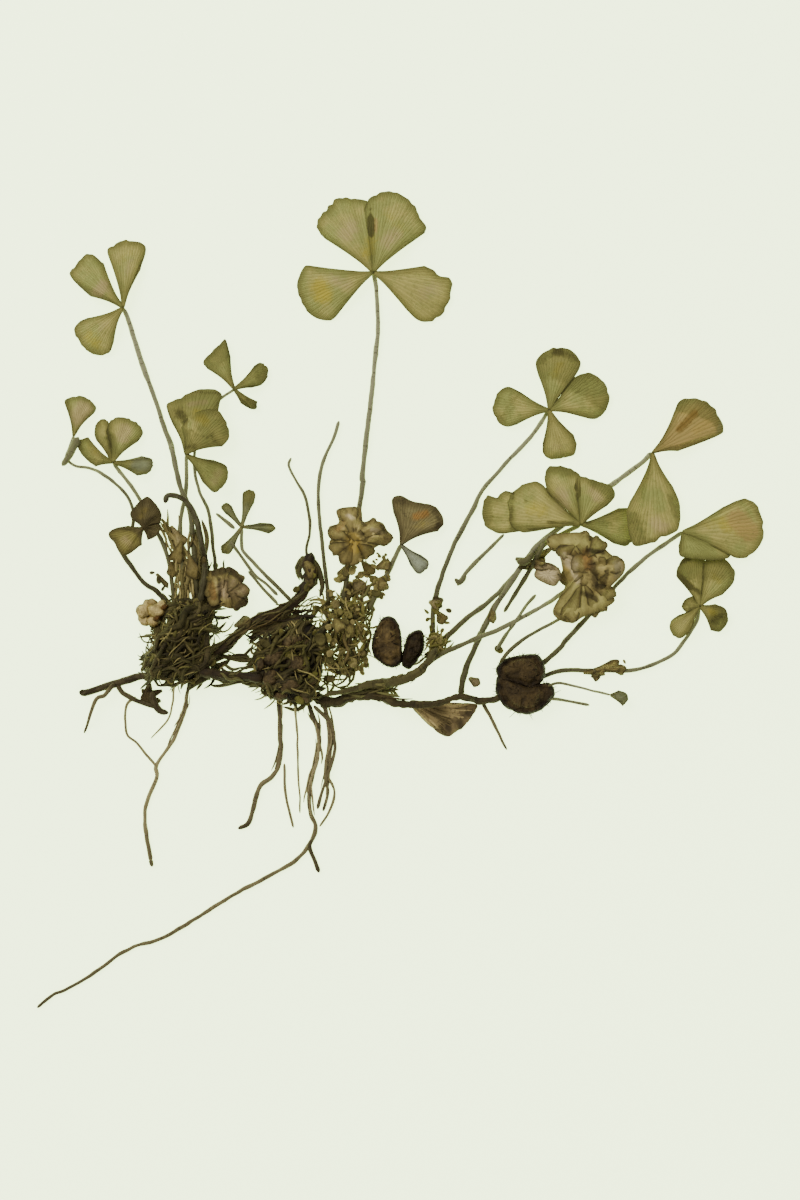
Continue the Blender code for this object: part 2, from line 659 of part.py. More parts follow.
def leaf_plan(hub, leaflets):
    """The flat pattern of a leaf: its points, hub first, and its faces, with a ring halfway along a leaflet."""
    hub = np.array(hub)
    points, faces, last_end = [hub], [], None
    first_start = None
    for edge in joined_leaflets(leaflets):
        away = edge - hub
        middle = math.atan2(*np.mean(away / np.linalg.norm(away, axis=1)[:, None], axis=0)[::-1])
        halfway = turned_towards(hub, edge[::2], middle, HALFWAY, LEAF_WAIST)
        sides = turned_towards(hub, edge[[0, -1]], middle, 1.0, LEAF_WAIST)
        inner = hub + HUB_RADIUS * (sides - hub) / np.linalg.norm(sides - hub, axis=1)[:, None]
        start = len(points)
        count = len(halfway)
        points.extend([inner[0], inner[1], *halfway, *edge])
        ring = range(start + 2, start + 2 + count)
        rim = range(start + 2 + count, start + 2 + count + len(edge))
        faces.append((0, start, ring[0]))
        faces.extend((0, ring[i], ring[i + 1]) for i in range(count - 1))
        faces.append((0, ring[-1], start + 1))
        faces.extend((ring[i], *rim[2 * i : 2 * i + 3], ring[i + 1]) for i in range(count - 1))
        if last_end is None:
            first_start = start
        else:
            faces.append((0, last_end, start))
        last_end = start + 1
    faces.append((0, last_end, first_start))
    return np.array(points), faces


def crumpled_plan(hub, outline):
    """The flat pattern of a crumpled leaf: a middle point, a ring halfway out and the outline."""
    hub, rim = np.array(hub), np.array(outline)
    count = len(rim)
    points = np.vstack(([hub], hub + CRUMPLE_RING * (rim - hub), rim))
    following = [(i + 1) % count for i in range(count)]
    faces = [(0, 1 + i, 1 + following[i]) for i in range(count)]
    faces += [(1 + i, 1 + count + i, 1 + count + following[i], 1 + following[i]) for i in range(count)]
    return points, faces


def resting_heights(bed, points, faces, slope):
    """The height of each point of a sheet, so that all of it clears what lies under it by the gap."""
    triangles = np.array([(face[0], face[i], face[i + 1]) for face in faces for i in range(1, len(face) - 1)])
    samples = samples_of(points[triangles])
    needed = bed.height(samples.reshape(-1, 2), GAP).reshape(samples.shape[:2]).max(axis=1)
    heights = np.zeros(len(points))
    for corner in range(3):
        np.maximum.at(heights, triangles[:, corner], np.where(needed > 0, needed + GAP, 0.0))
    return eased(points, heights, slope)


def add_sheet(bed, name, plan, thickness, relief, colour):
    """A leaf: its flat pattern raised to where it rests, with its relief, and thickened straight up."""
    points, faces = plan
    heights = resting_heights(bed, points, faces, LEAF_SLOPE) + relief
    sheet = bmesh.new()
    corners = [sheet.verts.new((x * MM, y * MM, z * MM)) for (x, y), z in zip(points, heights)]
    lower = [sheet.faces.new([corners[i] for i in reversed(face)]) for face in faces]
    raised = bmesh.ops.extrude_face_region(sheet, geom=lower, use_keep_orig=True)
    top = [item for item in raised["geom"] if isinstance(item, bmesh.types.BMVert)]
    bmesh.ops.translate(sheet, verts=top, vec=(0, 0, thickness * MM))
    bmesh.ops.recalc_face_normals(sheet, faces=sheet.faces)
    piece = add_mesh(name, sheet)
    finish(piece, colour, LEAF_ROUGHNESS)
    bed.lay(piece)


def add_leaf(bed, name, hub, leaflets, colour):
    """A four-parted leaf, with folds that fan out from its hub."""
    points, faces = leaf_plan(hub, leaflets)
    away = points - points[0]
    radius = np.linalg.norm(away, axis=1)
    angle = np.arctan2(away[:, 1], away[:, 0])
    relief = FOLD_HEIGHT * (1 + np.sin(FOLD_COUNT * angle + hub[0])) * radius / radius.max()
    add_sheet(bed, name, (points, faces), LEAF_THICKNESS, relief, colour)


def add_crumpled(bed, name, hub, outline, height, colour):
    """A crumpled leaf, domed in the middle, with ridges that run out to its edge."""
    points, faces = crumpled_plan(hub, outline)
    between, on_ridge, at_edge = CRUMPLE_LEVELS
    is_ridge = np.arange(len(outline)) % 2 == 0
    ring = np.where(is_ridge, on_ridge, between)
    edge = np.where(is_ridge, at_edge, 0.0)
    relief = height * np.concatenate(([1.0], ring, edge))
    add_sheet(bed, name, (points, faces), DRY_LEAF_THICKNESS, relief, colour)


def add_lump(bed, name, hub, outline, height, colour):
    """A low rounded lump with a flat underside and an uneven top."""
    hub = np.array(hub)
    rim = rounded([*outline, outline[0]])[:-1]
    count = len(rim)
    is_tuft = height >= TUFT_HEIGHT
    profile = TUFT_PROFILE if is_tuft else SMALL_PROFILE
    swell = TUFT_SWELL if is_tuft else SMALL_SWELL
    lump = bmesh.new()
    rings = []
    for share, level in profile:
        flat = hub + share * (rim - hub)
        wave = sum(np.sin(a * flat[:, 0] + b * flat[:, 1]) for a, b in WAVES)
        heights = height * level * (1 + swell * wave)
        rings.append([lump.verts.new((x * MM, y * MM, z * MM)) for (x, y), z in zip(flat, heights)])
    lump.faces.new(list(reversed(rings[0])))
    for low, high in zip(rings, rings[1:]):
        for i in range(count):
            following = (i + 1) % count
            lump.faces.new((low[i], low[following], high[following], high[i]))
    peak = lump.verts.new((hub[0] * MM, hub[1] * MM, height * MM))
    for i in range(count):
        lump.faces.new((rings[-1][i], rings[-1][(i + 1) % count], peak))
    bmesh.ops.recalc_face_normals(lump, faces=lump.faces)
    piece = add_mesh(name, lump)
    finish(piece, colour, CASE_ROUGHNESS)
    bed.lay(piece)


def smooth_path(points, spacing):
    """Evenly spaced points on a smooth curve through the given ones."""
    points = np.array(points, dtype=float)
    ends = np.vstack((2 * points[0] - points[1], points, 2 * points[-1] - points[-2]))
    t = np.linspace(0, 1, CURVE_STEPS, endpoint=False)[:, None]
    pieces = []
    for a, b, c, d in zip(ends, ends[1:], ends[2:], ends[3:]):
        square, cube = 2 * a - 5 * b + 4 * c - d, 3 * b - a - 3 * c + d
        pieces.append(0.5 * (2 * b + (c - a) * t + square * t**2 + cube * t**3))
    curve = np.vstack((*pieces, points[-1:]))
    along = np.concatenate(([0.0], np.cumsum(np.linalg.norm(np.diff(curve, axis=0), axis=1))))
    count = max(3, round(along[-1] / spacing) + 1)
    wanted = np.linspace(0, along[-1], count)
    return np.stack([np.interp(wanted, along, curve[:, axis]) for axis in (0, 1)], axis=1)


def add_strand(bed, name, path, diameter, taper, colour, bevel_resolution=1):
    """A rounded stem or root along a path, narrower towards its far end, lying on what is under it."""
    points = smooth_path(path, PATH_SPACING)
    radius = 0.5 * diameter * np.linspace(1.0, taper, len(points))
    share = np.linspace(0, 1, RUN_SAMPLES)[None, :, None]
    runs = points[:-1, None] * (1 - share) + points[1:, None] * share
    needed = bed.height(runs.reshape(-1, 2), 0.5 * diameter + GAP).reshape(runs.shape[:2]).max(axis=1)
    needed = np.where(needed > 0, needed + GAP, 0.0)
    heights = np.maximum(np.append(needed, 0), np.append(0, needed))
    heights = eased(points, heights, STEM_SLOPE) + radius
    curve = bpy.data.curves.new(name, "CURVE")
    curve.dimensions = "3D"
    curve.bevel_depth = MM
    curve.bevel_resolution = bevel_resolution
    curve.use_fill_caps = True
    spline = curve.splines.new("POLY")
    spline.points.add(len(points) - 1)
    for place, (x, y), z, r in zip(spline.points, points, heights, radius):
        place.co = (x * MM, y * MM, z * MM, 1.0)
        place.radius = r
    spline.use_smooth = True
    piece = bpy.data.objects.new(name, curve)
    bpy.context.collection.objects.link(piece)
    finish(piece, colour, STEM_ROUGHNESS)
    bed.lay(piece)


def build():
    for old in list(bpy.data.objects):
        bpy.data.objects.remove(old)
    bed = Bed()
    for name, lump in LUMPS.items():
        add_lump(bed, name, **lump)
    for name, path in RHIZOME.items():
        diameter = BRANCH_DIAMETER if name == "rhizome_branch" else RHIZOME_DIAMETER
        add_strand(bed, name, path, diameter, RHIZOME_TAPER, DARK_BROWN)
    for name, path in ROOTS.items():
        add_strand(bed, name, path, ROOT_DIAMETER, ROOT_TAPER, ROOT_BROWN, bevel_resolution=0)
    for name, path in STEMS.items():
        diameter = FINE_STEM_DIAMETER if name in FINE_STEMS else STEM_DIAMETER
        colour = STEM_DARK if name in DARK_STEMS else STEM_GREEN
        add_strand(bed, name, list(reversed(path)), diameter, STEM_TAPER, colour)
    for name, leaf in CRUMPLED.items():
        add_crumpled(bed, name, **leaf)
    for name, leaf in LEAVES.items():
        add_leaf(bed, name, **leaf)


build()
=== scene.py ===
"""The looks of a pressed and dried water clover, laid out as a Blender add-on and run as a script.

The plant lies flat on z = 0, +Y towards its tallest leaf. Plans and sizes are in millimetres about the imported
model's origin, and colours run from 0 to 255 as on a screen, unless a line says otherwise. Blades, stems and
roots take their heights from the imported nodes, so each lies where its node does.
"""

import json
import math
from functools import partial, partialmethod

import bpy
import numpy as np
from bpy.props import FloatProperty, FloatVectorProperty, IntProperty, PointerProperty
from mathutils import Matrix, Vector


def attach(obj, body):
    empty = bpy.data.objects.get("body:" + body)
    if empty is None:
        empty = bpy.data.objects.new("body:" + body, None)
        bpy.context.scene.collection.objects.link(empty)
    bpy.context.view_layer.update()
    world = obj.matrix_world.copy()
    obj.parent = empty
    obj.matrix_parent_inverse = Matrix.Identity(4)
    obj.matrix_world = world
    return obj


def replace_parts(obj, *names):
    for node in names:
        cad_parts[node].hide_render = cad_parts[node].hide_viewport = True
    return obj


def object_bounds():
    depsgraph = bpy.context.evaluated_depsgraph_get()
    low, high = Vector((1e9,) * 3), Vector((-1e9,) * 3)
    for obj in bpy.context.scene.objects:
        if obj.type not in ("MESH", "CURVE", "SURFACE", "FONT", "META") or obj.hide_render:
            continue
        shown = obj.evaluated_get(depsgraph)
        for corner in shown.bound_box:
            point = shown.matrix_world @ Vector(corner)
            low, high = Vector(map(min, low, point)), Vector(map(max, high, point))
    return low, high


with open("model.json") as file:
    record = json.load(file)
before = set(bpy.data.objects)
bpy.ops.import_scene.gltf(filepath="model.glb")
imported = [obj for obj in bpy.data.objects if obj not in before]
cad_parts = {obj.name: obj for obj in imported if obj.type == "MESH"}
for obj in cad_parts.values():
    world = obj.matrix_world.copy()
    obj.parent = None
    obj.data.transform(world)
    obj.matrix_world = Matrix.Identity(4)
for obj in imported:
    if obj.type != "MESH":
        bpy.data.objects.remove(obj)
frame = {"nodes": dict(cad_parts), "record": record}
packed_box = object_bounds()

bl_info = {
    "name": "Pressed Water Clover",
    "version": (1, 0, 0),
    "blender": (4, 5, 0),
    "location": "View3D > Sidebar > Water Clover",
    "description": "Dresses a pressed water clover with leaf blades, stems, roots, tufts and spore cases",
    "category": "Object",
}

MM = 0.001
TINY = 1e-6
SLOTS = {part["node"]: part["material_slot"] for part in frame["record"]["subparts"]}

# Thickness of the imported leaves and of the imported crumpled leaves
SOLID_LEAF = 0.24
SOLID_CRUMPLED = 0.35

# The gap under a sheet or a lump, and the lowest middle of a scrap or a hair
FLOOR_GAP = 0.02
LOWEST = 0.05

# Points across and along a leaf blade, round and out from the middle of a crumpled leaf, round and up a lump,
# and across and along a scrap
BLADE_GRID = (60, 26)
CRUMPLE_GRID = (120, 26)
LUMP_GRID = (110, 38)
SCRAP_GRID = (6, 6)

# How far apart the points of a long strand are, and how many a strand of a tangle, of a bundle, a hair and a
# rib of the bud scale have
STRAND_SPACING = 0.22
TANGLE_STEPS = 10
BUNDLE_STEPS = 11
HAIR_STEPS = 5
RIB_STEPS = 26

# The crumples of a blade, and the folds of a lobe or a loose bit, as a share of a blade's folds, and how much
# deeper a brown blade is folded
CRINKLE = 0.6
BROWN_FOLD = 1.8

# Lobes of crumpled leaves and loose bits: their waist, a lobe's lift as a share of its leaf's height, the
# steps in which they lie on each other, and the width of a bit's mark
LOBE_WAIST = 0.1
LOBE_LIFT = 0.6
LOBE_STEPS = 3
BIT_MARK = 3.0

# The skins of lumps: how rough they are, how much their height swells, and how deep creases and rims are
CORE_SKIN = {"roughness": 0.14, "swell": 0.12}
CASE_SKIN = {"roughness": 0.07, "swell": 0.08, "ridges": 0.10, "hollow_rim": 0.22}
BODY_SKIN = {"roughness": 0.09, "swell": 0.06, "ridges": 0.10}
BUD_SKIN = {"roughness": 0.05, "swell": 0.05}
EYE_SKIN = {"roughness": 0.03, "swell": 0.0}
SCALE_SKIN = {"roughness": 0.10, "swell": 0.10, "ridges": 0.08}

# The shapes of strands: how much their width wears, how rough and ribbed they are, how flat, and their sides
STEM_SHAPE = {"wear": 0.16, "rough": 0.08, "flatness": 0.82, "sides": 14}
ROOT_SHAPE = {"wear": 0.16, "rough": 0.08, "ribs": 0.05, "flatness": 0.82, "sides": 14}
RHIZOME_SHAPE = {"wear": 0.16, "rough": 0.25, "ribs": 0.10, "flatness": 0.82, "sides": 26}
LOOSE_SHAPE = {"wear": 0.2, "flatness": 0.82, "sides": 8}
FINE_SHAPE = {"wear": 0.25, "flatness": 0.85, "sides": 5}
HAIR_SHAPE = {"flatness": 0.8, "sides": 5}
RIB_SHAPE = {"wear": 0.2, "flatness": 0.6, "sides": 9}

# A stem: its width at the base and at the leaf as shares of the listed one, how light its base is and the
# power of its paleness. How olive it is is a length over its dark length, up to the most it may be.
STEM_TAPER = (1.08, 0.86)
BASE_LIGHT = 0.06
PALENESS_POWER = 1.2
OLIVE_LENGTH = 5.0
MOST_OLIVE = 0.3

# How far the rhizome strays sideways
RHIZOME_WAVER = 0.10

# How many tones are spread along a stem and a root
STEM_TONES = 40
ROOT_TONES = 12

# The spread of a tangle's bends in radians, the share of a tuft over which scraps lie, and the longest hair
BEND_SPREAD = 0.7
SCRAP_REACH = 0.95
HAIR_LENGTH = 0.34

# The near black of the painted shade in cracks and hollows, as linear light
DEEP_SHADE = (0.006, 0.004, 0.0025)

# Metres: half the side of the floor, where the lamp stands and its width, and what the camera can see.
# The lamp's power is in watts and the colours are linear light.
FLOOR_HALF = 3.0
LAMP_PLACE = (-0.35, 0.32, 0.42)
LAMP_WIDTH = 0.35
LAMP_POWER = 3.0
LAMP_COLOUR = (1.0, 0.98, 0.91)
SKY_COLOUR = (1.0, 0.99, 0.93, 1.0)
SKY_STRENGTH = 0.82
CAMERA_RANGE = (0.01, 20.0)

# The colours of a leaf's finish, and those that differ on a brown leaf and on a crumpled one
LEAF_TINTS = (
    "blade", "warm", "cool", "gold", "pink", "rust", "rustdark", "grey", "pale", "olive", "margin", "vein",
    "dark", "grain",
)
BROWN_TINTS = {
    "blade": (102, 93, 57), "warm": (121, 111, 71), "cool": (82, 74, 42), "margin": (60, 52, 27),
    "vein": (80, 68, 34), "grain": (96, 84, 46), "gold": (160, 142, 66), "rust": (144, 102, 44),
    "dark": (40, 32, 12), "grey": (196, 208, 178),
}
CRUMPLED_TINTS = {
    "blade": (148, 132, 76), "warm": (170, 154, 93), "cool": (110, 100, 52), "margin": (84, 73, 35),
    "vein": (94, 82, 43), "grain": (118, 104, 62), "gold": (176, 148, 62), "rust": (140, 102, 52),
    "dark": (40, 31, 13), "pink": (164, 142, 108), "pale": (204, 186, 142), "olive": (166, 158, 90),
    "grey": (158, 148, 112),
}

# The first seed of each group of pieces, from which the seeds of its single pieces count up
SEEDS = {
    "leaves": 0, "crumpled": 3000, "bits": 3500, "stems": 5000, "fine_stems": 6000, "roots": 7000,
    "fine_roots": 8000, "root_strands": 8500, "rhizome": 9000, "rhizome_strands": 9500, "tufts": 10000,
    "old_stems": 11000, "litter": 11500, "scraps": 12000, "cases": 13000, "hairs": 13500, "bodies": 14000,
    "bud": 15000, "eyes": 15050, "scale": 15100,
}

# In these tables a path or outline is a list of numbers that are x and y in turn.

# Each leaf: its hub, its waist, and its leaflets as outer edges read anticlockwise about the hub. The waist
# is how much a leaflet narrows towards the hub.
LEAVES = {
    "leaf_top": ((-2.4, 29.55), 0.08, [[0.6, 26.2, 1.6, 25.3, 2.7, 25.2, 3.7, 25.8, 4.4, 26.9, 4.7, 28.2, 4.5,
    29.1, 3.6, 29.3, 2.9, 29.9, 2.2, 30.2], [2.2, 33.1, 2.4, 33.8, 1.7, 34.7, 1.4, 35.5, 0.3, 36.5, -1, 36.9,
    -2.2, 36.6, -3, 35.9, -3.3, 35], [-2.1, 35.2, -2.9, 36, -4.2, 36.2, -5.1, 36.4, -6, 36, -7.4, 34.2, -7.3,
    33.3, -6.7, 32.6], [-7.6, 30.1, -8.6, 30.1, -9.3, 28.1, -8.1, 25.9, -7, 25.3, -6, 25.4, -5.2, 26.3]]),
    "leaf_upper_left": ((-24.85, 26.4), 0.24, [[-23.3, 29.8, -22.9, 31.9, -24.6, 32.5, -25.5, 32.2, -26.3,
    31.6, -26.1, 30.7], [-26.6, 30.4, -28, 31.3, -29.5, 29.8, -29.6, 29.2, -28.7, 28.2, -27.8, 27.4], [-28.1,
    25.5, -28.9, 25.1, -29.3, 24.3, -28.8, 23.3, -28, 22.5, -27, 22.1, -26.1, 22.4, -25.7, 23.3]]),
    "leaf_left": ((-25.8, 12.5), 0.24, [[-23.6, 11.3, -22.7, 11.5, -22.2, 12.1, -22.3, 12.8, -23.2, 13.1],
    [-23.5, 14.4, -23.1, 15.2, -23.7, 16.1, -25, 16.6, -26, 16.3, -26.4, 15.3], [-25.9, 14.9, -26.3, 16.3,
    -27.2, 16.2, -27.5, 15.3, -27.3, 14.5], [-28, 14.8, -28.9, 14.4, -28.8, 13.6, -28.2, 12.8, -27.3, 12.1]]),
    "leaf_far_left": ((-29.3, 14.9), 0.24, [[-27.5, 16.9, -27.3, 17.4, -27.8, 18.1, -28.8, 18.5, -30.1, 18.1,
    -29.9, 17.2]]),
    "leaf_small_upper": ((-14.9, 19.1), 0.24, [[-14.3, 17.8, -13.4, 17.3, -12.9, 17.4, -12.8, 18], [-13.3,
    19.2, -12.4, 19.5, -11.9, 20.2, -11.9, 21, -12.5, 21.5, -13.1, 21.2], [-15.2, 22, -15.7, 23.6, -16.3, 23,
    -17.2, 22.2, -17.7, 21.5, -17.3, 20.9]]),
    "leaf_folded": ((-19.2, 13.2), 0.24, [[-17.7, 10.7, -16.7, 9.8, -16, 10.1, -15.4, 11.2, -15.6, 12.2,
    -16.7, 12.7], [-15.9, 13.9, -15.3, 14.8, -15.5, 15.9, -16.3, 17.1, -17.6, 17.2, -19, 16.6, -19.6, 15.6],
    [-16.4, 15.8, -16.2, 17.6, -16, 18.7, -17.2, 19.1, -18.5, 18.9, -19.9, 18.2, -20.9, 17.7, -20.8, 16.9,
    -20.4, 15.9]]),
    "leaf_lower_left": ((-23, 6.6), 0.24, [[-21.5, 7, -21.4, 7.9, -22, 8.9, -22.8, 9.4, -24.1, 8.1, -24, 7.3],
    [-24.3, 6.8, -25.4, 6.6, -26.1, 6.1, -25.6, 5.2, -24.7, 4.1, -23.1, 5.1], [-22.6, 5.5, -21.8, 5.9, -21.4,
    6.7, -22, 7.4]]),
    "leaf_star": ((-14.2, 6.7), 0.24, [[-11.8, 6.1, -11.2, 6.5, -11.5, 7, -12.6, 7.1], [-13.1, 8.9, -13, 9.7,
    -13.5, 10.1, -14.1, 9.8, -14.2, 8.9], [-15.1, 8.6, -15.6, 8.9, -16.1, 8.5, -15.7, 7.9], [-16.1, 5, -16,
    4.4, -15.3, 4.3, -14.8, 5]]),
    "leaf_brown": ((0.1, 5.1), 0.24, [[0.9, 3.3, 1.6, 2.5, 2.4, 2.9, 2.6, 3.6, 1.9, 4.2], [3.4, 6.3, 3.9, 7,
    3.7, 7.9, 2.9, 8.7, 1.2, 9, 0.1, 9.5, -0.7, 9.2, -0.6, 8]]),
    "leaf_right": ((13.4, 17.2), 0.14, [[16.3, 16.6, 17.4, 16.4, 18.3, 16.9, 18.8, 17.9, 18.7, 19, 18, 20.1,
    16.9, 20.6, 15.6, 20.1, 14.9, 19.2], [15.2, 19.4, 16.2, 21.1, 16, 22.1, 15.1, 22.7, 14, 22.8, 12.9, 22.4,
    12.2, 21.5, 12.4, 20.4], [10.9, 18.8, 9.8, 19.3, 9, 19, 8.5, 18.2, 8.4, 17.2, 8.8, 16.2, 9.6, 15.7, 10.5,
    15.9], [12.8, 14.2, 12.9, 13.3, 13.6, 12.8, 15.5, 13.1, 15.9, 14, 15.6, 15]]),
    "leaf_middle": ((16.2, 6.9), 0.1, [[19.2, 5.2, 20.3, 5, 21, 5.6, 21.1, 7, 20.8, 8.3, 19.6, 8.4], [18.6,
    8.6, 19.3, 9.5, 18.8, 10.4, 16.4, 11.2, 15.9, 11.4, 15.6, 10.2], [16.1, 9.9, 16.2, 11.2, 15.4, 11.9, 14.2,
    12.2, 13.2, 12, 13, 10.9, 13.2, 9.8], [13.4, 9.6, 12.8, 10.5, 11.8, 10.8, 10, 9.8, 9.7, 8.4, 10, 6.9,
    10.9, 6.2, 12.2, 6.3], [10.4, 9.7, 9.4, 9.9, 8.6, 9.3, 7.8, 9.5, 7.4, 8, 7.7, 6.8, 8.8, 6.1, 10.2, 6.2]]),
    "leaf_rust": ((22.7, 13.4), 0.24, [[25, 13.5, 28.6, 14.9, 29.1, 15.5, 28.7, 16.7, 27.9, 17.7, 26.6, 18.3,
    25.2, 18.1, 24.6, 17], [20.6, 9, 20.3, 8, 20.5, 6.4, 21, 5, 22.2, 5.1, 23.6, 5.8, 24.9, 6.5, 25.2, 7.7,
    25.1, 9, 24.5, 10.4]]),
    "leaf_small_right": ((26.9, -0.4), 0.24, [[27.9, -2.6, 28.7, -2.7, 29.3, -2.2, 29.5, -1.4, 29.2, -0.6,
    28.3, -0.2], [29, 0.6, 30, 1.7, 30.1, 2.8, 29.4, 3.7, 28, 4, 27.3, 3.4, 27.2, 2.2], [27.7, 2.8, 27.4, 3.7,
    26.5, 4.1, 25.4, 3.8, 24.9, 2.8, 24.9, 2.2, 25.6, 1.4], [26.3, 0.5, 25.6, 0.2, 25.3, -0.5, 25.7, -1], [25,
    -1.2, 24.3, -1.8, 24.3, -2.7, 25, -3.3, 25.8, -2.9, 26.3, -2.2]]),
    "leaf_far_right": ((25.4, 6.3), 0.05, [[25, 5, 25.2, 4.1, 26.6, 3.8, 28, 3.7, 29.4, 3.9, 30.1, 4.6],
    [29.2, 4.4, 30.2, 3.9, 31.2, 4, 31.9, 4.5, 32.5, 5.4, 32.7, 6.8, 32.4, 8.1, 31.6, 9.1, 30.6, 9.2, 29,
    8.5]]),
    "leaf_tiny": ((18.9, -8.4), 0.24, [[20, -9.4, 20.5, -8.8, 20.3, -8.2, 19.6, -8]]),
}
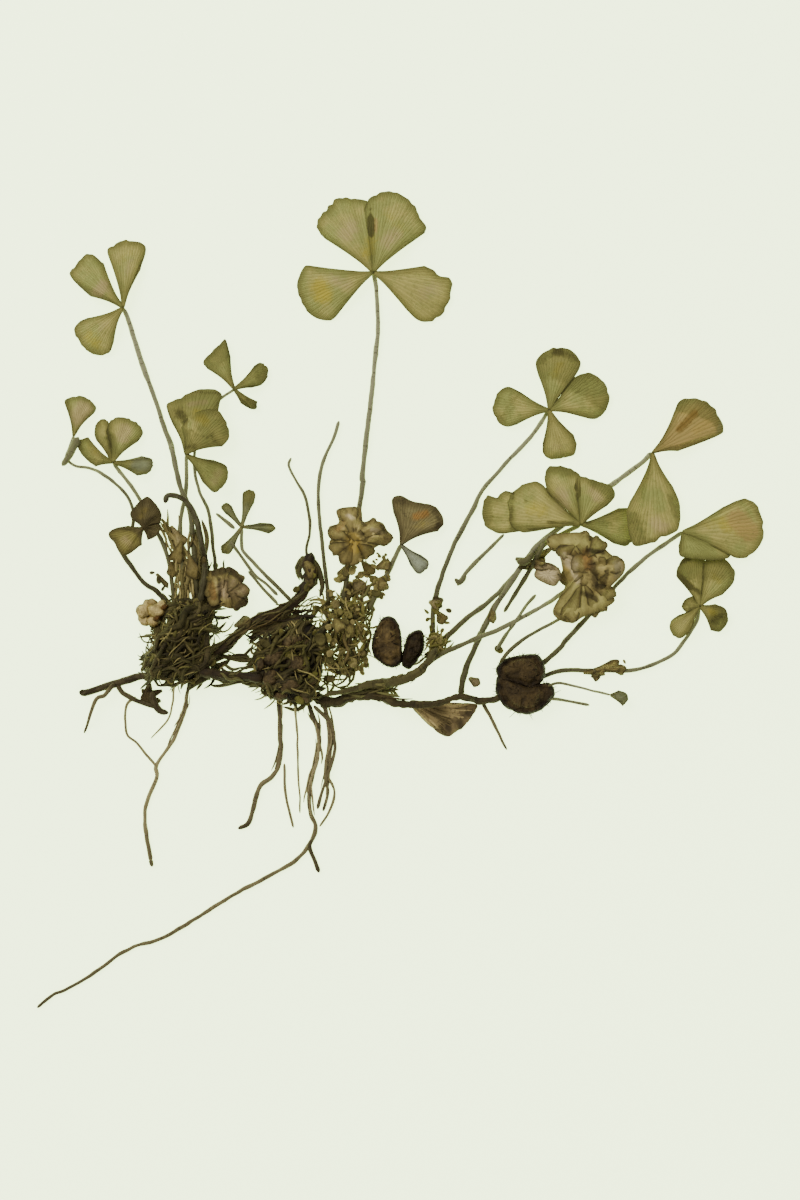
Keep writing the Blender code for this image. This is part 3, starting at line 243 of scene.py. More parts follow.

# The marks of each leaf by kind. Each is a line, as x and y of its two ends, then a width, a strength and
# sometimes a lift: a colour, and a height, that fade away from the line. Dark marks are partly the leaves' own
# dark spots and partly painted shadow along folds and where leaflets overlap, such as the one on leaf_middle
# from (18.9, 8.8) to (16.8, 7.1).
MARKS = {
    "leaf_top": {"dark": [(-2.65, 35.3, -2.55, 32.8, 0.22, 0.6, 0.02), (-2.6, 34.3, -2.6, 33.2, 0.36, 1.2)],
    "rust": [(-2.2, 34.3, -2.2, 33.2, 0.3, 0.8)], "gold": [(-6.9, 27.6, -7.2, 28.2, 1.1, 0.9), (-3, 31.2,
    -2.6, 32.4, 0.9, 0.6), (-1.2, 34.8, 0.2, 33.6, 0.9, 0.4)], "pink": [(-4.4, 33.6, -4.8, 33, 1.2, 0.7),
    (-1.2, 32.2, -0.4, 33, 0.9, 0.7), (2.2, 27.7, 3, 28.2, 1.1, 0.6), (-4.8, 28.4, -6, 28.9, 0.9, 0.6)]},
    "leaf_upper_left": {"dark": [(-23.8, 32.2, -25.6, 32, 0.35, 0.35), (-28.9, 30.4, -29.5, 29.4, 0.35, 0.4),
    (-28.3, 27.7, -28.9, 28.3, 0.3, 0.5)], "pink": [(-26.6, 28.3, -27.1, 27.8, 0.8, 0.9), (-24.4, 29.6, -24.2,
    30.6, 0.6, 0.5), (-26.3, 24.9, -26.9, 24.6, 0.6, 0.5)], "gold": [(-27.9, 23.8, -27.3, 23.2, 0.9, 0.6),
    (-24.3, 31.3, -24.8, 30.8, 0.6, 0.4)]},
    "leaf_left": {"dark": [(-26.3, 15.4, -26, 13.9, 0.32, 0.7, 0.03), (-26.7, 12.5, -25.2, 12.4, 0.4, 0.4)],
    "pink": [(-24.6, 15.4, -24.9, 14.8, 0.9, 0.8)], "grey": [(-23.4, 12.4, -22.8, 12.4, 0.9, 1.2)],
    "shade": [(-26, 14.6, -25.8, 13.4, 0.6, 1.2)], "gold": [(-27.9, 13.9, -27.4, 13.4, 0.6, 0.5)]},
    "leaf_far_left": {"dark": [(-29.9, 18.1, -29.7, 16.6, 0.28, 0.5, 0.04), (-28.9, 18.4, -28.9, 17.4, 0.2,
    0.3, 0.03)], "pink": [(-28.4, 17.2, -28.8, 16.6, 1, 1.2)]},
    "leaf_small_upper": {"dark": [(-15.7, 23.5, -15.3, 21.6, 0.25, 0.45, 0.04), (-17.6, 21.4, -16.4, 22.8,
    0.2, 0.3), (-14.9, 19.4, -15, 18.8, 0.4, 0.6)], "shade": [(-16.6, 21.8, -15.6, 22.8, 1, 1.2), (-12.6,
    20.9, -12.4, 20.2, 0.7, 1.1), (-13.6, 17.8, -13, 17.7, 0.6, 1.1)], "gold": [(-13.9, 19.3, -13.6, 19.5,
    0.4, 0.4)]},
    "leaf_folded": {"dark": [(-19.8, 16.9, -19.4, 16.4, 0.65, 0.85), (-16.9, 14.9, -16.2, 14, 0.5, 0.55,
    0.05), (-18.6, 18.8, -16.1, 18.7, 0.22, 0.6, 0.04), (-18.8, 15.4, -17.4, 14.6, 0.25, 0.4, 0.08), (-19.2,
    13.8, -18.4, 13.9, 0.4, 0.7)], "gold": [(-18.2, 16.9, -17.5, 16.2, 0.7, 0.8), (-16.6, 11.2, -17.2, 11.8,
    0.5, 0.3)], "shade": [(-19.6, 17.4, -16.4, 18.2, 1.1, 1), (-16.2, 15.6, -17.6, 13.9, 1, 1.1), (-19.4, 15,
    -19.1, 13.6, 0.6, 1.2), (-17, 12, -16, 11, 1.6, 0.6), (-17.8, 16.8, -17, 15.4, 1.7, 0.5)],
    "pale": [(-18.9, 17.7, -17.4, 17.9, 0.3, 0.9)], "pink": [(-16.6, 10.8, -16.2, 11.6, 0.7, 0.6)]},
    "leaf_lower_left": {"gold": [(-22.9, 8.2, -23.2, 7.6, 0.5, 0.6)], "pale": [(-24.7, 5.6, -24.3, 5.2, 0.6,
    0.6)], "dark": [(-22, 7.6, -22.9, 7, 0.4, 0.6, 0.1), (-24.9, 6.6, -23.4, 6.2, 0.3, 0.6, 0.05)],
    "shade": [(-22.8, 9, -22.6, 7.6, 1.2, 1.5), (-24.4, 6.2, -22.8, 7.8, 2.2, 0.35)], "olive": [(-24.9, 5.9,
    -24.3, 5, 1.4, 1.4)]},
    "leaf_star": {"dark": [(-11.4, 6.6, -12.4, 6.6, 0.3, 0.3), (-15.9, 8.6, -15, 7.8, 0.25, 0.4, 0.05)],
    "pale": [(-14, 6.9, -14.4, 6.5, 0.5, 0.7)], "grey": [(-14.2, 6.7, -14, 6.7, 3.4, 0.9)], "shade": [(-13.6,
    9.6, -13.6, 9, 0.6, 1), (-15.7, 4.8, -15.9, 4.4, 0.5, 1)]},
    "leaf_brown": {"rust": [(1.4, 7.6, 2.3, 7.9, 0.5, 0.8)], "gold": [(1.5, 6.8, 2.2, 7, 0.6, 0.5)],
    "dark": [(0.6, 6.6, 0.2, 8.6, 0.3, 0.5), (2.6, 6.2, 3.4, 6.8, 0.3, 0.5), (3.6, 7, 3.2, 8.2, 0.45, 0.6),
    (-0.4, 9, 0.4, 9.1, 0.4, 0.6, 0.04)], "grey": [(1, 3.6, 2.2, 3.2, 1.4, 2)]},
    "leaf_right": {"dark": [(12.8, 21.6, 14.2, 22.5, 0.45, 0.5), (14.2, 22.5, 15.8, 21.8, 0.45, 0.65), (14.6,
    18, 16.1, 19, 0.25, 0.4, 0.05), (16.4, 20.1, 16.9, 19.2, 0.25, 0.4, 0.04), (9, 16.6, 9.4, 16.1, 0.4,
    0.3)], "gold": [(13.9, 20.4, 14.3, 21.2, 0.7, 0.6), (16.9, 18.2, 17.4, 17.7, 0.6, 0.3)], "pink": [(14.1,
    13.9, 14.5, 13.5, 0.8, 0.5)], "shade": [(13.4, 21.8, 15.4, 21.4, 1.9, 1.5), (16.6, 19.6, 18.2, 18, 1.2,
    1), (9.2, 16.6, 10.4, 18.4, 0.8, 0.6)]},
    "leaf_middle": {"dark": [(15.85, 11, 15.85, 9.2, 0.2, 0.75, 0.05), (18.9, 8.8, 16.8, 7.1, 0.32, 0.8, 0.1),
    (10.1, 9.8, 9.9, 6.6, 0.3, 0.6, 0.1), (8.8, 9.4, 8.4, 7.8, 0.22, 0.45, 0.1), (13.4, 7.1, 15.7, 7, 0.3,
    0.7, 0.05), (13.1, 10.5, 13.1, 8.2, 0.2, 0.35, 0.05), (20.6, 5.4, 19.8, 5.1, 0.35, 0.5)], "gold": [(11.8,
    8.4, 12.6, 8.2, 1, 0.6)], "shade": [(13.6, 12, 15.4, 11.6, 0.7, 1), (17.4, 10.6, 18.8, 9.6, 0.6, 1), (7.8,
    9, 7.8, 7.2, 0.6, 1), (10.2, 6.6, 12.8, 6.4, 0.5, 0.9), (19.8, 7.6, 18, 7, 0.6, 0.6)], "pink": [(14.5,
    9.6, 14.7, 8.6, 0.9, 0.8), (17.3, 9.9, 17.8, 9.3, 0.8, 0.7)]},
    "leaf_rust": {"rust": [(24.4, 14.6, 27.4, 16.2, 2.3, 1.5)], "shade": [(25.4, 17.8, 28.6, 16.6, 0.7, 1),
    (25, 17.8, 28.4, 17.2, 0.6, 1.4), (28.7, 16.6, 28.9, 15.4, 0.5, 1.2), (21, 7.4, 21.6, 5.8, 0.8, 0.9),
    (24.4, 9.2, 25, 7.8, 0.6, 1)], "rustdark": [(25.1, 15.5, 26.5, 16.9, 0.5, 0.85, -0.03)], "gold": [(25.5,
    16.9, 26.9, 17.3, 0.4, 0.9), (26.6, 15.4, 27.6, 16, 0.5, 1.1), (22.6, 8.6, 23.4, 8, 1.1, 0.25)],
    "grey": [(28.6, 15.3, 28.9, 16.2, 0.4, 0.5)], "dark": [(20.8, 8.2, 23, 6.4, 0.22, 0.35, 0.07), (21, 5.1,
    23.4, 5.7, 0.35, 0.5)], "pink": [(23, 7, 23.6, 6.6, 0.9, 0.8)]},
    "leaf_small_right": {"dark": [(25, 2.5, 26.9, 0.8, 0.32, 0.8, 0.05), (28.3, -1.7, 28.9, -1.2, 0.7, 0.75),
    (27.3, 3.4, 27.2, 1.6, 0.22, 0.5, 0.05), (29.9, 1.9, 29.6, 3.2, 0.3, 0.4), (25, 3.4, 26.2, 4, 0.3, 0.9),
    (27, 4, 28.2, 3.9, 0.3, 0.9), (25.2, 1.9, 26, 1.2, 0.25, 0.9)], "gold": [(27.9, -0.9, 28.2, -1, 0.5, 0.8),
    (28.2, 2.4, 28.7, 1.8, 0.5, 0.5)], "pink": [(25.3, -1.9, 25.6, -1.6, 0.5, 0.4)], "shade": [(25.8, 3.2,
    29.4, 3.2, 1.5, 1.2), (28.4, -2.2, 28.9, -1, 1, 1.6)]},
    "leaf_far_right": {"gold": [(29.8, 6.8, 31.1, 6.6, 1.1, 0.6), (28.6, 7.2, 27.5, 6.9, 0.8, 0.4)],
    "rust": [(30.3, 7.4, 31.4, 6.3, 1, 1.3)], "dark": [(26, 6.3, 29.4, 5.3, 0.14, 0.35, 0.05), (26, 6, 28.4,
    4.4, 0.14, 0.3, 0.05), (26, 6.6, 30.2, 8.2, 0.12, 0.25, 0.04), (32.4, 7.6, 31.5, 8.8, 0.4, 0.4)]},
    "leaf_tiny": {"dark": [(20.2, -8.6, 19.8, -9, 0.35, 0.5)], "grey": [(19.9, -8.7, 20.1, -8.9, 1.2, 1.5)]},
    "dry_leaf_centre": {"gold": [(-4.3, 5.6, -4, 4.9, 0.62, 1.5, 0.1)], "dark": [(-4.2, 6.5, -3.3, 6, 0.3,
    0.7), (-5.2, 5.6, -5, 4.6, 0.3, 0.6), (-3.4, 7.4, -3.2, 6.9, 0.4, 0.8), (-1.2, 5.6, -1.6, 6.8, 0.4, 0.6)],
    "pale": [(-2.4, 6.4, -1.7, 6.2, 0.35, 0.8), (-4.7, 7.7, -4.2, 7.5, 0.3, 0.8)], "rust": [(-5.2, 7, -5.6,
    6.4, 0.5, 0.7)]},
    "dry_leaf_right": {"olive": [(13.6, 5.5, 17.4, 5.5, 0.85, 1.4), (14.5, -1.4, 15, 0.4, 0.9, 1.3), (16.4,
    -0.8, 18.9, 0.2, 0.9, 1.2), (17.6, 5.2, 19, 4, 0.7, 1), (16.4, 1, 15, 1.4, 0.6, 0.9)], "grey": [(19.6,
    3.4, 19.6, 2.4, 0.55, 0.9)], "rust": [(16.6, 4.2, 16.9, 3.2, 0.6, 1)], "pale": [(14.6, 3.9, 15.4, 3.4,
    0.6, 1.1), (15.6, 2.6, 16, 1.8, 0.4, 0.8)], "dark": [(16.9, 4.6, 18.2, 4.4, 0.3, 0.9), (17.2, 3.4, 17.6,
    1.4, 0.55, 0.9), (14.2, 4.9, 15.4, 5.1, 0.2, 0.6), (18.6, 2.9, 18.3, 1.4, 0.3, 0.7), (16.4, 0.8, 17.6,
    0.2, 0.35, 0.9), (13.9, -0.9, 14.8, -1.7, 0.3, 0.7)], "gold": [(14.6, 3.2, 15.2, 2.9, 0.4, 0.8)]},
    "dry_leaf_tan": {"pale": [(13.4, 2.3, 13, 2.5, 1, 1.6)], "rust": [(13.4, 3.2, 12.2, 3, 0.4, 1.2)]},
    "dry_leaf_left": {"pink": [(-15.5, 1.2, -14.6, 1, 0.9, 1.6, 0.05)], "rust": [(-16.9, 1.5, -16.7, 0.4, 0.4,
    1.1)], "dark": [(-13.7, 0.2, -14.4, -0.5, 0.5, 1.2), (-16.6, 2.6, -15.2, 2.9, 0.4, 1), (-15, 2.6, -14,
    1.7, 0.3, 0.9), (-16.2, 2, -16.1, 0.4, 0.3, 0.8)], "shade": [(-14.6, 0.2, -15.4, -0.4, 0.5, 1.2)]},
}

# Crumpled dry leaves: a middle, how high it stands, its outline, and the lobes folded over it, each as its
# own hub, the way it points in degrees, its length and how many degrees it spreads
CRUMPLED = {
    "dry_leaf_centre": ((-4, 5.9), 0.4, [-0.8, 5.7, -1.2, 6.5, -1.6, 7.1, -2.6, 7.3, -3.3, 7.2, -3.5, 8.3,
    -4.5, 8.5, -5.7, 8.2, -5.5, 7.1, -6.4, 6.7, -6.1, 5.9, -6.3, 5, -4.8, 3.4, -3.8, 3.4, -3.2, 4.2, -2.1,
    4.9], [(-4.3, 6, 99, 2.5, 56), (-4.5, 5.5, 152, 2.1, 56), (-4.5, 5.2, 198, 1.9, 52), (-4.3, 5.2, 247, 2,
    56), (-3.6, 5.5, 42, 2.4, 50), (-3.6, 5.4, 8, 2.9, 40), (-3.8, 5.2, -38, 1.7, 60), (-4.1, 5.4, 70, 1.2,
    130)]),
    "dry_leaf_right": ((16.6, 3.2), 0.4, [20.1, 2.6, 20, 3.8, 19, 4.2, 17.3, 5.8, 16.1, 6.2, 14.6, 6.1, 13.3,
    5.8, 13.2, 5, 14.2, 4.2, 14.6, 2.6, 14.8, 1.4, 13.7, -0.8, 14.4, -1.7, 15.6, -1.9, 16.4, -1.4, 18, -0.8,
    19.3, 0.1, 18.7, 1], [(16, 4, 146, 3.1, 44), (16.4, 4.2, 98, 2.1, 70), (16.8, 4, 48, 2.1, 60), (17.2, 3,
    8, 2.9, 46), (16.6, 2.6, 196, 2.3, 60), (16.2, 1.6, 251, 3.5, 38), (16.6, 1.4, 300, 2.9, 46), (17, 1.6,
    334, 2.5, 44), (16.9, 2.6, 120, 1.9, 120), (17, 3, 250, 1.8, 110), (17.2, 3.2, 350, 1.4, 120), (15.6, 5,
    210, 1.7, 70)]),
    "dry_leaf_tan": ((13.2, 2.5), 0.15, [14.4, 2.6, 13.6, 3.4, 12.6, 3.4, 12, 2.4, 12.6, 1.8, 13.9, 1.4],
    [(12.6, 3, -38, 2, 46), (14.2, 2.9, 168, 2.2, 34)]),
    "dry_leaf_left": ((-15.6, 1.4), 0.36, [-13.6, 0.2, -14.3, 1.9, -15.3, 3, -16.7, 2.7, -17, 1.4, -16.9, 0.2,
    -15.4, -0.6, -14, -0.5], [(-15.9, 0.9, 112, 2.2, 70), (-15.4, 0.9, 62, 2, 60), (-15.2, 0.8, 8, 1.7, 70),
    (-16, 0.9, 168, 1.5, 80), (-15.1, 0.9, -58, 1.8, 60), (-16.2, 1, 240, 1.5, 60), (-15.7, 2, 34, 1.3, 100),
    (-14.9, 0.3, 80, 1, 120)]),
}

# Loose folded bits of leaf: a place, the way each points in degrees, its length and spread, and its paleness
BITS = [
    (16.5, -6.4, 6, 2, 34, 0.35), (17.6, -6.1, 12, 2.2, 40, 0.5), (18.2, -6, 232, 1.3, 46, 0.2), (18.8, -6,
    -6, 1.5, 50, 0.6), (10.4, 3.9, -28, 1.5, 60, 0.1), (11.6, 3.3, 20, 1.5, 50, 0.5), (-3.4, 3.6, -50, 1.5,
    60, 0.6), (-2.2, 3, 20, 1.4, 60, 0.7), (-4.6, 3.4, 240, 1.6, 50, 0.3), (-1.8, 2.2, -70, 1.3, 60, 0.4),
    (-4.6, 1.6, 280, 1.3, 60, 0.1), (-3.2, 1.8, 215, 1.2, 60, 0.8), (2.6, 0, -20, 1.2, 70, 0.8), (3.4, -0.9,
    -60, 1.2, 70, 0.6), (3.9, 0.2, 200, 0.9, 80, 0.2), (-20.6, 6.8, -60, 2.2, 50, 0.8), (-19.6, 5.4, 250, 2,
    50, 0.6), (-18.9, 4, 284, 1.9, 60, 0.7), (-18.3, 2, 110, 1.6, 50, 0.5), (-20.6, 3.6, -80, 1.4, 60, 0.3),
    (-17.5, 4, 262, 2, 40, 0.2), (-22.6, -7.4, 262, 1.8, 50, 0), (-21.4, -8, 200, 1.6, 40, 0), (-8.6, 3.9,
    300, 1.9, 50, 0.25), (-7.4, 2.8, 240, 1.6, 60, 0.1), (6.2, -6.9, -30, 1.1, 60, 0.9), (8.4, -0.4, 265, 1.5,
    40, 0.7), (-14.9, -2.2, 20, 1.6, 60, 0.1), (13.6, 4.8, 215, 1.5, 40, 0.6), (-5.9, -1.4, 300, 1.4, 60,
    0.5), (-4.2, -3.2, 110, 1.2, 60, 0.6), (-21.9, 2.5, -48, 1.6, 24, 0.2),
]

# Stems: the width, how far up from the base each is dark, and the path from the leaf to the base
STEMS = {
    "stem_left": (0.42, 16, [-25.75, 12.4, -24, 10.1, -22.4, 7.4, -20.9, 4, -20.2, -0.6]),
    "stem_far_left": (0.34, 12, [-29.3, 15, -29.8, 13.7, -30, 12.9, -29.2, 12.2, -27.8, 12, -26.4, 11.3,
    -25.2, 10.3, -24.2, 8.9, -23.9, 7.4, -24.4, 5.4]),
    "stem_lower_left": (0.52, 60, [-25.3, 4.9, -23.5, 2.2, -22.7, 1.4, -22, 1, -21.2, 0.1, -20.6, -1]),
    "stem_folded": (0.46, 16, [-19.2, 13.2, -19.3, 9.8, -19.8, 6.4, -19.3, -0.6]),
    "stem_small_upper": (0.36, 14, [-14.9, 19.1, -16.4, 18, -17.4, 16.8, -18.1, 15.2, -18.4, 13.4, -18.4,
    11.6, -18, 9.9, -17.3, 8.3, -16.9, 6.5, -16.8, 4.8, -16.6, 3.7, -16.7, 2.2]),
    "stem_upper_left": (0.56, 26, [-24.85, 26.35, -24.3, 25, -23.2, 21.5, -20.6, 14, -19.7, 10.3, -19, 8.6,
    -18.7, 7, -18.3, 1.1, -18.4, -0.6]),
    "stem_hooked": (0.66, 90, [-21, 8.9, -20.7, 9.5, -19.4, 9.2, -18.6, 8.2, -18, 6.6, -17.5, 3.4, -17.9,
    0.1]),
    "stem_star": (0.38, 9, [-14.2, 6.6, -14.2, 5, -13.6, 4, -9.8, 0.1]),
    "stem_bare_short": (0.32, 14, [-9.8, 12.9, -10, 12.2, -9.3, 10.8, -8.5, 9.3, -8.1, 6.8, -8.4, 4.8, -8.3,
    3.8]),
    "stem_bare_tall": (0.4, 22, [-5.5, 16.2, -6, 14.6, -6.9, 12.6, -7.3, 10.6, -7.2, 7.4, -6.5, 0.9, -6.5,
    -0.8]),
    "stem_top": (0.54, 22, [-2.35, 29.5, -2.05, 27.5, -2.1, 23, -3.3, 12, -3.4, 10, -5, 0.9, -5.1, -0.8]),
    "stem_brown": (0.54, 10, [0.1, 5.1, -1, 2.8, -2.8, -0.7]),
    "stem_right": (0.5, 24, [13.35, 17.15, 11.8, 14.8, 9.3, 12.2, 7.3, 9.8, 6.7, 8.5, 5, 5.4, 3.2, 0.5, 2.9,
    -2.3, 3.1, -3.5]),
    "stem_middle": (0.52, 16, [16.2, 6.9, 12.8, 5, 8.8, 0.7, 6, -1.5, 3.6, -3.8]),
    "stem_rust": (0.6, 22, [22.6, 13.35, 21.4, 12.2, 16.9, 8.9, 15, 7.2, 13, 5.6, 11.6, 4.1, 8.3, -0.9, 6.4,
    -4.8, 5.6, -7.3, 5.5, -8.4]),
    "stem_dry_leaf": (0.48, 14, [15.4, 1.4, 13, -0.3, 9, -2.4, 7, -3.2, 3.6, -4.8, 2.4, -5.6]),
    "stem_dry_leaf_low": (0.36, 12, [15.2, -0.8, 14.6, -1.4, 11.2, -3.3, 9.8, -4.4, 9, -5.4]),
    "stem_far_right": (0.5, 20, [25.35, 6.25, 21, 3, 15.4, -3, 14.5, -4.1, 12.8, -5.6]),
    "stem_small_right": (0.44, 20, [26.9, -0.45, 26.6, -1.9, 25.2, -4, 24.1, -5, 21.3, -6.1, 17.8, -6.2, 14.6,
    -6.2, 12.4, -6.9]),
    "stem_tiny": (0.28, 3, [18.95, -8.4, 15.6, -7.6, 14.2, -7.3, 13.2, -7.6]),
}

# The rhizome: widths spread along it, how pale and how olive it is, and its path
RHIZOME = {
    "rhizome_upper": ((0.9, 0.8, 0.9, 0.95, 1.15), 0.12, 0, [-18.2, -5.4, -15.6, -3.9, -14.4, -2.8, -12.8,
    -1.6, -10.6, -0.8, -9.1, 0.4, -8.2, 1.9, -8.2, 3.4, -8, 4.2]),
    "rhizome_lower": ((0.9, 0.8, 0.9), 0.12, 0, [-18, -6.2, -15, -6.7, -14, -6.6, -12.4, -6.9]),
    "rhizome_right": ((1, 0.7, 0.6, 0.6), 0.15, 0.1, [-7.6, -8.7, -5.8, -9, -4.6, -8.6, -3, -8.5, -1.5, -8.7,
    0, -9.2, 3.3, -9.1, 5.2, -8.5, 7.4, -8.9, 9.8, -8.3]),
    "rhizome_branch": ((0.3, 0.5, 0.8, 0.9, 0.7, 0.5), 0.12, 0.3, [-6.8, -8.4, -3.4, -7.6, 0.6, -6.8, 2.2,
    -5.8, 3.3, -4.2]),
}

# Roots: the width at each end, how pale each is, and the path from the rhizome outwards
ROOTS = {
    "root_left": (0.72, 0.62, 0.05, [-21.6, -6.4, -25, -7.2, -28.6, -8.3]),
    "root_left_fork": (0.46, 0.22, 0.2, [-25.7, -7.4, -26.5, -8.4, -27.3, -9, -28.4, -11.8]),
    "root_left_down": (0.34, 0.38, 0.42, [-18.9, -7, -19.2, -8.6, -19.3, -9.6, -20.3, -12.2, -21.9, -14.7,
    -21.9, -15.8, -22.9, -18.4, -22.9, -20, -22.4, -23.3]),
    "root_middle_left": (0.44, 0.44, 0.22, [-10.9, -8.8, -10.8, -12, -10.8, -14.4, -11.4, -15.7, -12.6, -16.8,
    -13.5, -19.7, -14.5, -20.4]),
    "root_middle": (0.44, 0.3, 0.24, [-8.2, -9.2, -7.3, -11.8, -7.4, -13.5, -8.2, -17.2, -8.1, -18.8, -7.6,
    -20.2, -8, -21.6, -9.2, -23.2, -10.8, -24.2, -15, -26.4, -20, -29.5, -21.8, -30.4, -23.8, -31, -25.4,
    -31.8, -27, -33.1, -30, -34.9, -31.2, -35.4, -32.6, -36.5]),
    "root_middle_right": (0.44, 0.32, 0.3, [-7, -8.9, -6.6, -10.3, -6.3, -12.8, -6.6, -14.4, -6.7, -15.8,
    -6.5, -17.2, -6.9, -18.8]),
    "root_right": (0.36, 0.22, 0.25, [7.4, -9, 9.2, -12.5, 9.6, -13.3]),
}

# Fine strands with no node of their own: the width at each end, how pale each is, and its path
FINE_ROOTS = [
    (0.42, 0.5, 0.1, [-25.4, -7.5, -24.8, -8.3, -23.5, -9, -22, -9.4, -21.4, -9.9]),
    (0.26, 0.22, 0.5, [-23.8, -8.6, -24.6, -9.4, -24.6, -11.8, -23.6, -12.8, -21.9, -14.8]),
    (0.22, 0.14, 0.7, [-20.2, -7.4, -20.8, -10.5, -22.4, -12.3]),
    (0.7, 0.55, 0.05, [-22.3, -8.2, -22.1, -9, -21.6, -9.8, -20.9, -10]),
    (0.24, 0.16, 0.6, [-9.4, -9.4, -9.1, -16.5, -9, -19]),
    (0.26, 0.24, 0.45, [-10.4, -14.6, -10.2, -17.5, -9.6, -20.3]),
    (0.26, 0.24, 0.45, [-6.6, -15.6, -6, -16.6, -5.9, -17.6, -6.4, -19, -7.2, -20.2]),
    (0.42, 0.4, 0.1, [-7.9, -21.4, -8.1, -22.2, -7.3, -24.3]),
    (0.34, 0.3, 0.25, [-7.7, -9.4, -6.4, -10.8, -5.9, -12.2, -5.9, -13.8, -7, -17, -7.4, -18.6]),
    (0.46, 0.3, 0.2, [-22.4, -23.2, -22.3, -23.8]),
]
FINE_STEMS = [
    (0.4, 0.34, 0.5, [5.2, 1.5, 6.3, 3, 9.3, 6]),
    (0.5, 0.4, 0.25, [5, 2, 5.4, 1.7, 5.9, 2.3]),
    (0.34, 0.3, 0.5, [8.7, -4.3, 11, -0.8, 12.2, 0.6]),
    (0.3, 0.3, 0.35, [-13.6, 2.7, -12.5, 1.4, -11, -0.2]),
    (0.28, 0.3, 0.45, [-15.2, 5.4, -13.2, 2.6, -12, 1.6, -11, 0.6]),
    (0.34, 0.3, 0.45, [-14.9, 6.6, -15.6, 7.2, -16.5, 7.9]),
    (0.3, 0.26, 0.45, [13.4, -8.7, 14.4, -8.8, 17, -9.3]),
    (0.5, 0.34, 0.2, [12.9, 5.2, 11.4, 2.4, 9.4, -0.9]),
    (0.9, 0.5, 0.1, [10.6, 3.6, 11.2, 3.6, 11.9, 4.3]),
    (0.8, 0.6, 0.35, [-28.9, 14.6, -29.8, 13, -30.3, 12.3]),
]

# Tufts: a middle, an outline, the outline of the solid core, groups of strands and of scraps. A group of
# strands is the outline that it fills, a count, a heading in degrees and its spread, then ranges: length,
# width, share of the height under it, paleness and olive. A group of scraps is a count, then ranges: size,
# share of the height, paleness and olive.
TUFTS = {
    "tuft_left": {"hub": (-19.6, -4.2), "outline": [-16.8, -3.4, -16.4, -1.3, -17.2, 0, -18.6, 0.3, -20.4, 0,
    -21.6, -2.5, -22.8, -3.5, -22.6, -5, -22.8, -6.3, -22.4, -7.4, -21.5, -7.2, -19.4, -7.9, -18.4, -7.3,
    -17.2, -6.8, -16.7, -5.5], "core": [-17.3, -3.3, -16.9, -1.6, -18, -0.4, -20.2, -0.6, -21.2, -2.4, -22.1,
    -3.8, -22.1, -6.2, -21.2, -6.8, -19.5, -7.2, -17.6, -6.5], "strands": [("outline", 150, 38, 34, (1.2,
    3.8), (0.14, 0.42), (0.7, 0.98), (0, 0.12), (0, 0.3)), ("outline", 34, 40, 18, (2.6, 5.2), (0.42, 0.85),
    (0.7, 0.95), (0, 0.14), (0, 0.2)), ("outline", 20, 38, 24, (1.6, 4), (0.08, 0.18), (0.92, 1.06), (0.3,
    0.75), (0, 0.3)), ("outline", 60, 85, 55, (0.8, 2.6), (0.14, 0.34), (0.65, 1), (0, 0.3), (0, 0.5)),
    ("outline", 26, 160, 35, (1, 2.4), (0.12, 0.26), (0.4, 0.9), (0, 0.2), (0.2, 0.6))], "scraps": [(30,
    (0.22, 0.55), (0.72, 0.95), (0, 0.4), (0, 0.6))]},
    "tuft_middle": {"hub": (-8.3, -5.1), "outline": [-3.1, -2.3, -2.9, -0.7, -3.9, 0.1, -6, 0.2, -9.4, -0.9,
    -11.8, -2, -13.1, -3.4, -13.1, -5.4, -13.1, -7.2, -12.5, -8.5, -11.2, -8.9, -10, -9.6, -8.7, -9.7, -7.7,
    -9.1, -6.5, -7.7, -4.8, -7, -3.5, -5.7], "core": [-7.2, -4.4, -7.4, -2.4, -8.4, -1.9, -9.8, -2.5, -11.8,
    -3.3, -12.6, -4.2, -12.5, -7, -11.9, -8, -10.8, -8.4, -9.6, -9.1, -8.4, -9, -7.4, -7.6, -6.9, -6],
    "strands": [("core", 110, 45, 45, (1.2, 3.6), (0.14, 0.36), (0.66, 0.97), (0, 0.18), (0, 0.3)),
    ("outline", 190, 75, 55, (1, 3.4), (0.12, 0.32), (0.1, 0.8), (0.3, 1), (0.2, 0.9)), ("outline", 22, -30,
    40, (1.6, 3.8), (0.08, 0.17), (0.8, 1.02), (0.4, 0.95), (0, 0.4)), ("core", 20, 25, 18, (2.6, 4.6), (0.4,
    0.7), (0.62, 0.9), (0, 0.14), (0, 0.3))], "scraps": [(46, (0.22, 0.6), (0.55, 0.95), (0, 0.5), (0.1,
    1))]},
    "tuft_right": {"hub": (3.2, -3.9), "outline": [3.8, -3.2, 3.2, -3, 2.7, -3.4, 2.8, -4.6, 3.9, -4.4],
    "core": [3.8, -3.8, 3.6, -3.3, 3.2, -3.2, 2.8, -4, 3.4, -4.5], "strands": [("outline", 40, 55, 50, (0.8,
    2.6), (0.12, 0.3), (0.6, 1.1), (0.1, 0.7), (0.2, 0.9))], "scraps": [(16, (0.2, 0.44), (0.7, 1.1), (0.1,
    0.8), (0.2, 1))]},
}

# Dark rounded bodies between the strands of the middle tuft: a middle, two half widths, the turn in degrees
# and the height
BODIES = [
    ((-9.5, -3.6), 1.15, 0.75, 20, 2.5), ((-11.2, -4.9), 1.2, 0.85, 40, 2.4), ((-9.2, -5.5), 1.25, 0.8, -15,
    2.6), ((-11.6, -6.9), 1.05, 0.75, 70, 2.2), ((-9.8, -7.4), 1.15, 0.85, 15, 2.4), ((-7.9, -7), 0.95, 0.6,
    50, 2.2), ((-8.1, -3.9), 0.85, 0.6, 75, 2.3), ((-10.6, -8.4), 0.75, 0.5, 10, 1.8), ((-8.6, -8.6), 0.8,
    0.5, -25, 1.8), ((-12.4, -5.6), 0.7, 0.5, 80, 1.9), ((-7.2, -5.3), 0.65, 0.45, 30, 1.9),
]

